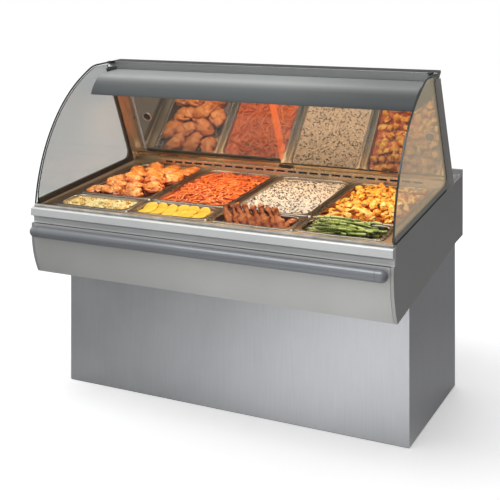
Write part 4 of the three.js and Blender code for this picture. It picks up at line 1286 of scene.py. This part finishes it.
def build_controls():
    for node, x in KNOBS.items():
        build_knob(node, x)
    for node, x in SWITCHES.items():
        build_switch(node, x)
    build_panel_screws()
    build_cable()


# ------------------------------------------------------------------ stage
def studio_floor():
    """A pale floor for the eye; what the case reflects of it is darker at the sides and behind."""
    bpy.ops.mesh.primitive_plane_add(size=30, location=(0, 0, 0))
    floor = bpy.context.object
    floor.name = "studio_floor"
    paint = Paint("studio_floor", (0.9, 0.9, 0.9), 0.7)
    seen = paint.nodes.new("ShaderNodeLightPath").outputs["Is Camera Ray"]
    spread = paint.nodes.new("ShaderNodeTexGradient")
    spread.gradient_type = "SPHERICAL"
    patch = paint.nodes.new("ShaderNodeMapping")
    patch.vector_type = "TEXTURE"
    patch.inputs["Location"].default_value = (0.35, -1.35, 0)
    patch.inputs["Scale"].default_value = (1.45, 3.0, 1)
    paint.links.new(paint.place, patch.inputs["Vector"])
    paint.links.new(patch.outputs["Vector"], spread.inputs["Vector"])
    reflected = paint.ramp(spread.outputs["Fac"], [(0.0, 0.24), (0.85, 0.85)])
    away = paint.nodes.new("ShaderNodeVectorMath")
    away.operation = "LENGTH"
    paint.links.new(paint.place, away.inputs[0])
    distance = paint.scaled_from(away.outputs["Value"], 0.8, 3.2)
    paint.set("Base Color", paint.mixed(seen, reflected, paint.ramp(distance, [(0.0, 0.93), (1.0, 0.06)])))
    fade = paint.ramp(distance, [(0.0, 0.25), (1.0, 1.0)])
    glow = paint.ramp(spread.outputs["Fac"], [(0.45, 0.0), (0.9, 0.34)])
    paint.set("Emission Color", paint.mixed(seen, glow, fade))
    paint.set("Emission Strength", 1.0)
    paint.set("Roughness", paint.scaled(paint.noise(3.0), 0.65, 0.8))
    floor.data.materials.append(paint.material)


def studio_world():
    """White to the eye; as light it is soft, brighter above and in front, darker behind to the right."""
    world = bpy.data.worlds.new("studio")
    bpy.context.scene.world = world
    world.use_nodes = True
    nodes, links = world.node_tree.nodes, world.node_tree.links
    place = nodes.new("ShaderNodeTexCoord").outputs["Generated"]
    toward = nodes.new("ShaderNodeVectorMath")
    toward.operation = "DOT_PRODUCT"
    toward.inputs[1].default_value = Vector((-0.55, -0.55, 0.65)).normalized()
    links.new(place, toward.inputs[0])
    spread = nodes.new("ShaderNodeMapRange")
    spread.inputs["From Min"].default_value = -1.0
    spread.inputs["To Min"].default_value = 0.15
    spread.inputs["To Max"].default_value = 0.75
    links.new(toward.outputs["Value"], spread.inputs["Value"])
    seen = nodes.new("ShaderNodeLightPath").outputs["Is Camera Ray"]
    level = nodes.new("ShaderNodeMix")
    links.new(seen, level.inputs[0])
    links.new(spread.outputs["Result"], level.inputs[2])
    level.inputs[3].default_value = 1.0
    nodes["Background"].inputs["Color"].default_value = (1, 1, 1, 1)
    links.new(level.outputs[0], nodes["Background"].inputs["Strength"])


def softbox(name, place, target, size, energy, color=(1, 1, 1)):
    light = bpy.data.lights.new(name, "AREA")
    light.shape = "RECTANGLE"
    light.size, light.size_y = size
    light.energy = energy
    light.color = color
    lamp = bpy.data.objects.new(name, light)
    bpy.context.scene.collection.objects.link(lamp)
    lamp.location = place
    lamp.rotation_euler = (Vector(target) - Vector(place)).to_track_quat("-Z", "Y").to_euler()
    lamp.visible_camera = False


def studio_camera():
    """The photograph's view. Its lens shift holds only at its own place, so other views stay centred."""
    camera = bpy.data.objects.new("camera", bpy.data.cameras.new("camera"))
    bpy.context.scene.collection.objects.link(camera)
    bpy.context.scene.camera = camera
    camera.location = CAMERA_PLACE
    camera.rotation_euler = (math.pi / 2, 0, CAMERA_YAW)
    camera.data.lens = CAMERA_LENS
    camera.data.sensor_width = 36
    px, py, pz = CAMERA_PLACE
    for channel, shift in zip(("shift_x", "shift_y"), CAMERA_SHIFT):
        driver = camera.data.driver_add(channel).driver
        for axis in "XYZ":
            variable = driver.variables.new()
            variable.name = axis.lower()
            variable.type = "TRANSFORMS"
            variable.targets[0].id = camera
            variable.targets[0].transform_type = f"LOC_{axis}"
            variable.targets[0].transform_space = "WORLD_SPACE"
        driver.expression = f"{shift} if abs(x-{px})+abs(y-{py})+abs(z-{pz})<0.01 else 0"


def build_stage():
    bpy.context.scene.view_settings.view_transform = "Standard"
    studio_floor()
    studio_world()
    softbox("key", (-0.6, -2.0, 4.6), (0, 0, 0.9), (3.2, 2.4), 92)
    softbox("front_fill", (0.6, -4.8, 0.9), (0.0, 0, 0.4), (2.6, 1.2), 14)
    softbox("left_fill", (-3.5, -1.0, 2.4), (0, 0, 0.9), (2.0, 2.0), 14)
    softbox("rear_fill", (-0.7, 3.4, 0.65), (0, 0.5, 0.5), (2.4, 0.9), 30)
    for column in range(4):
        x = (column - 1.5) * PAN_PITCH * MM
        y = (430 - DECK_SETBACK) * MM
        z = (405 + DECK_HEIGHT) * MM
        softbox(f"lamp_glow_{column + 1}", (x, y, z), (x, y - 0.02, 0.5), (0.16, 0.16), 1.3, (1.0, 0.68, 0.40))
    studio_camera()


MAT["lamp"] = glowing("lamp_glow", (1.0, 0.62, 0.28), 5.0, 7.0)
MAT["pilot"] = glowing("pilot_glow", (1.0, 0.42, 0.08), 0.9, 1.3)
MAT["stud"] = satin("bright_stud", (0.85, 0.84, 0.82), 0.12, 1.0)
MAT["bar_stud"] = satin("pale_stud", (0.92, 0.90, 0.86), 0.3, 0.2)
build_shell()
build_glass_house()
build_doors()
build_hood()
build_deck()
for serve in (roast_chicken, saucy_noodles, wild_rice, herbed_potatoes, browned_gratin, yellow_slices, drumsticks,
              asparagus):
    serve()
build_controls()
build_stage()

bpy.context.view_layer.update()
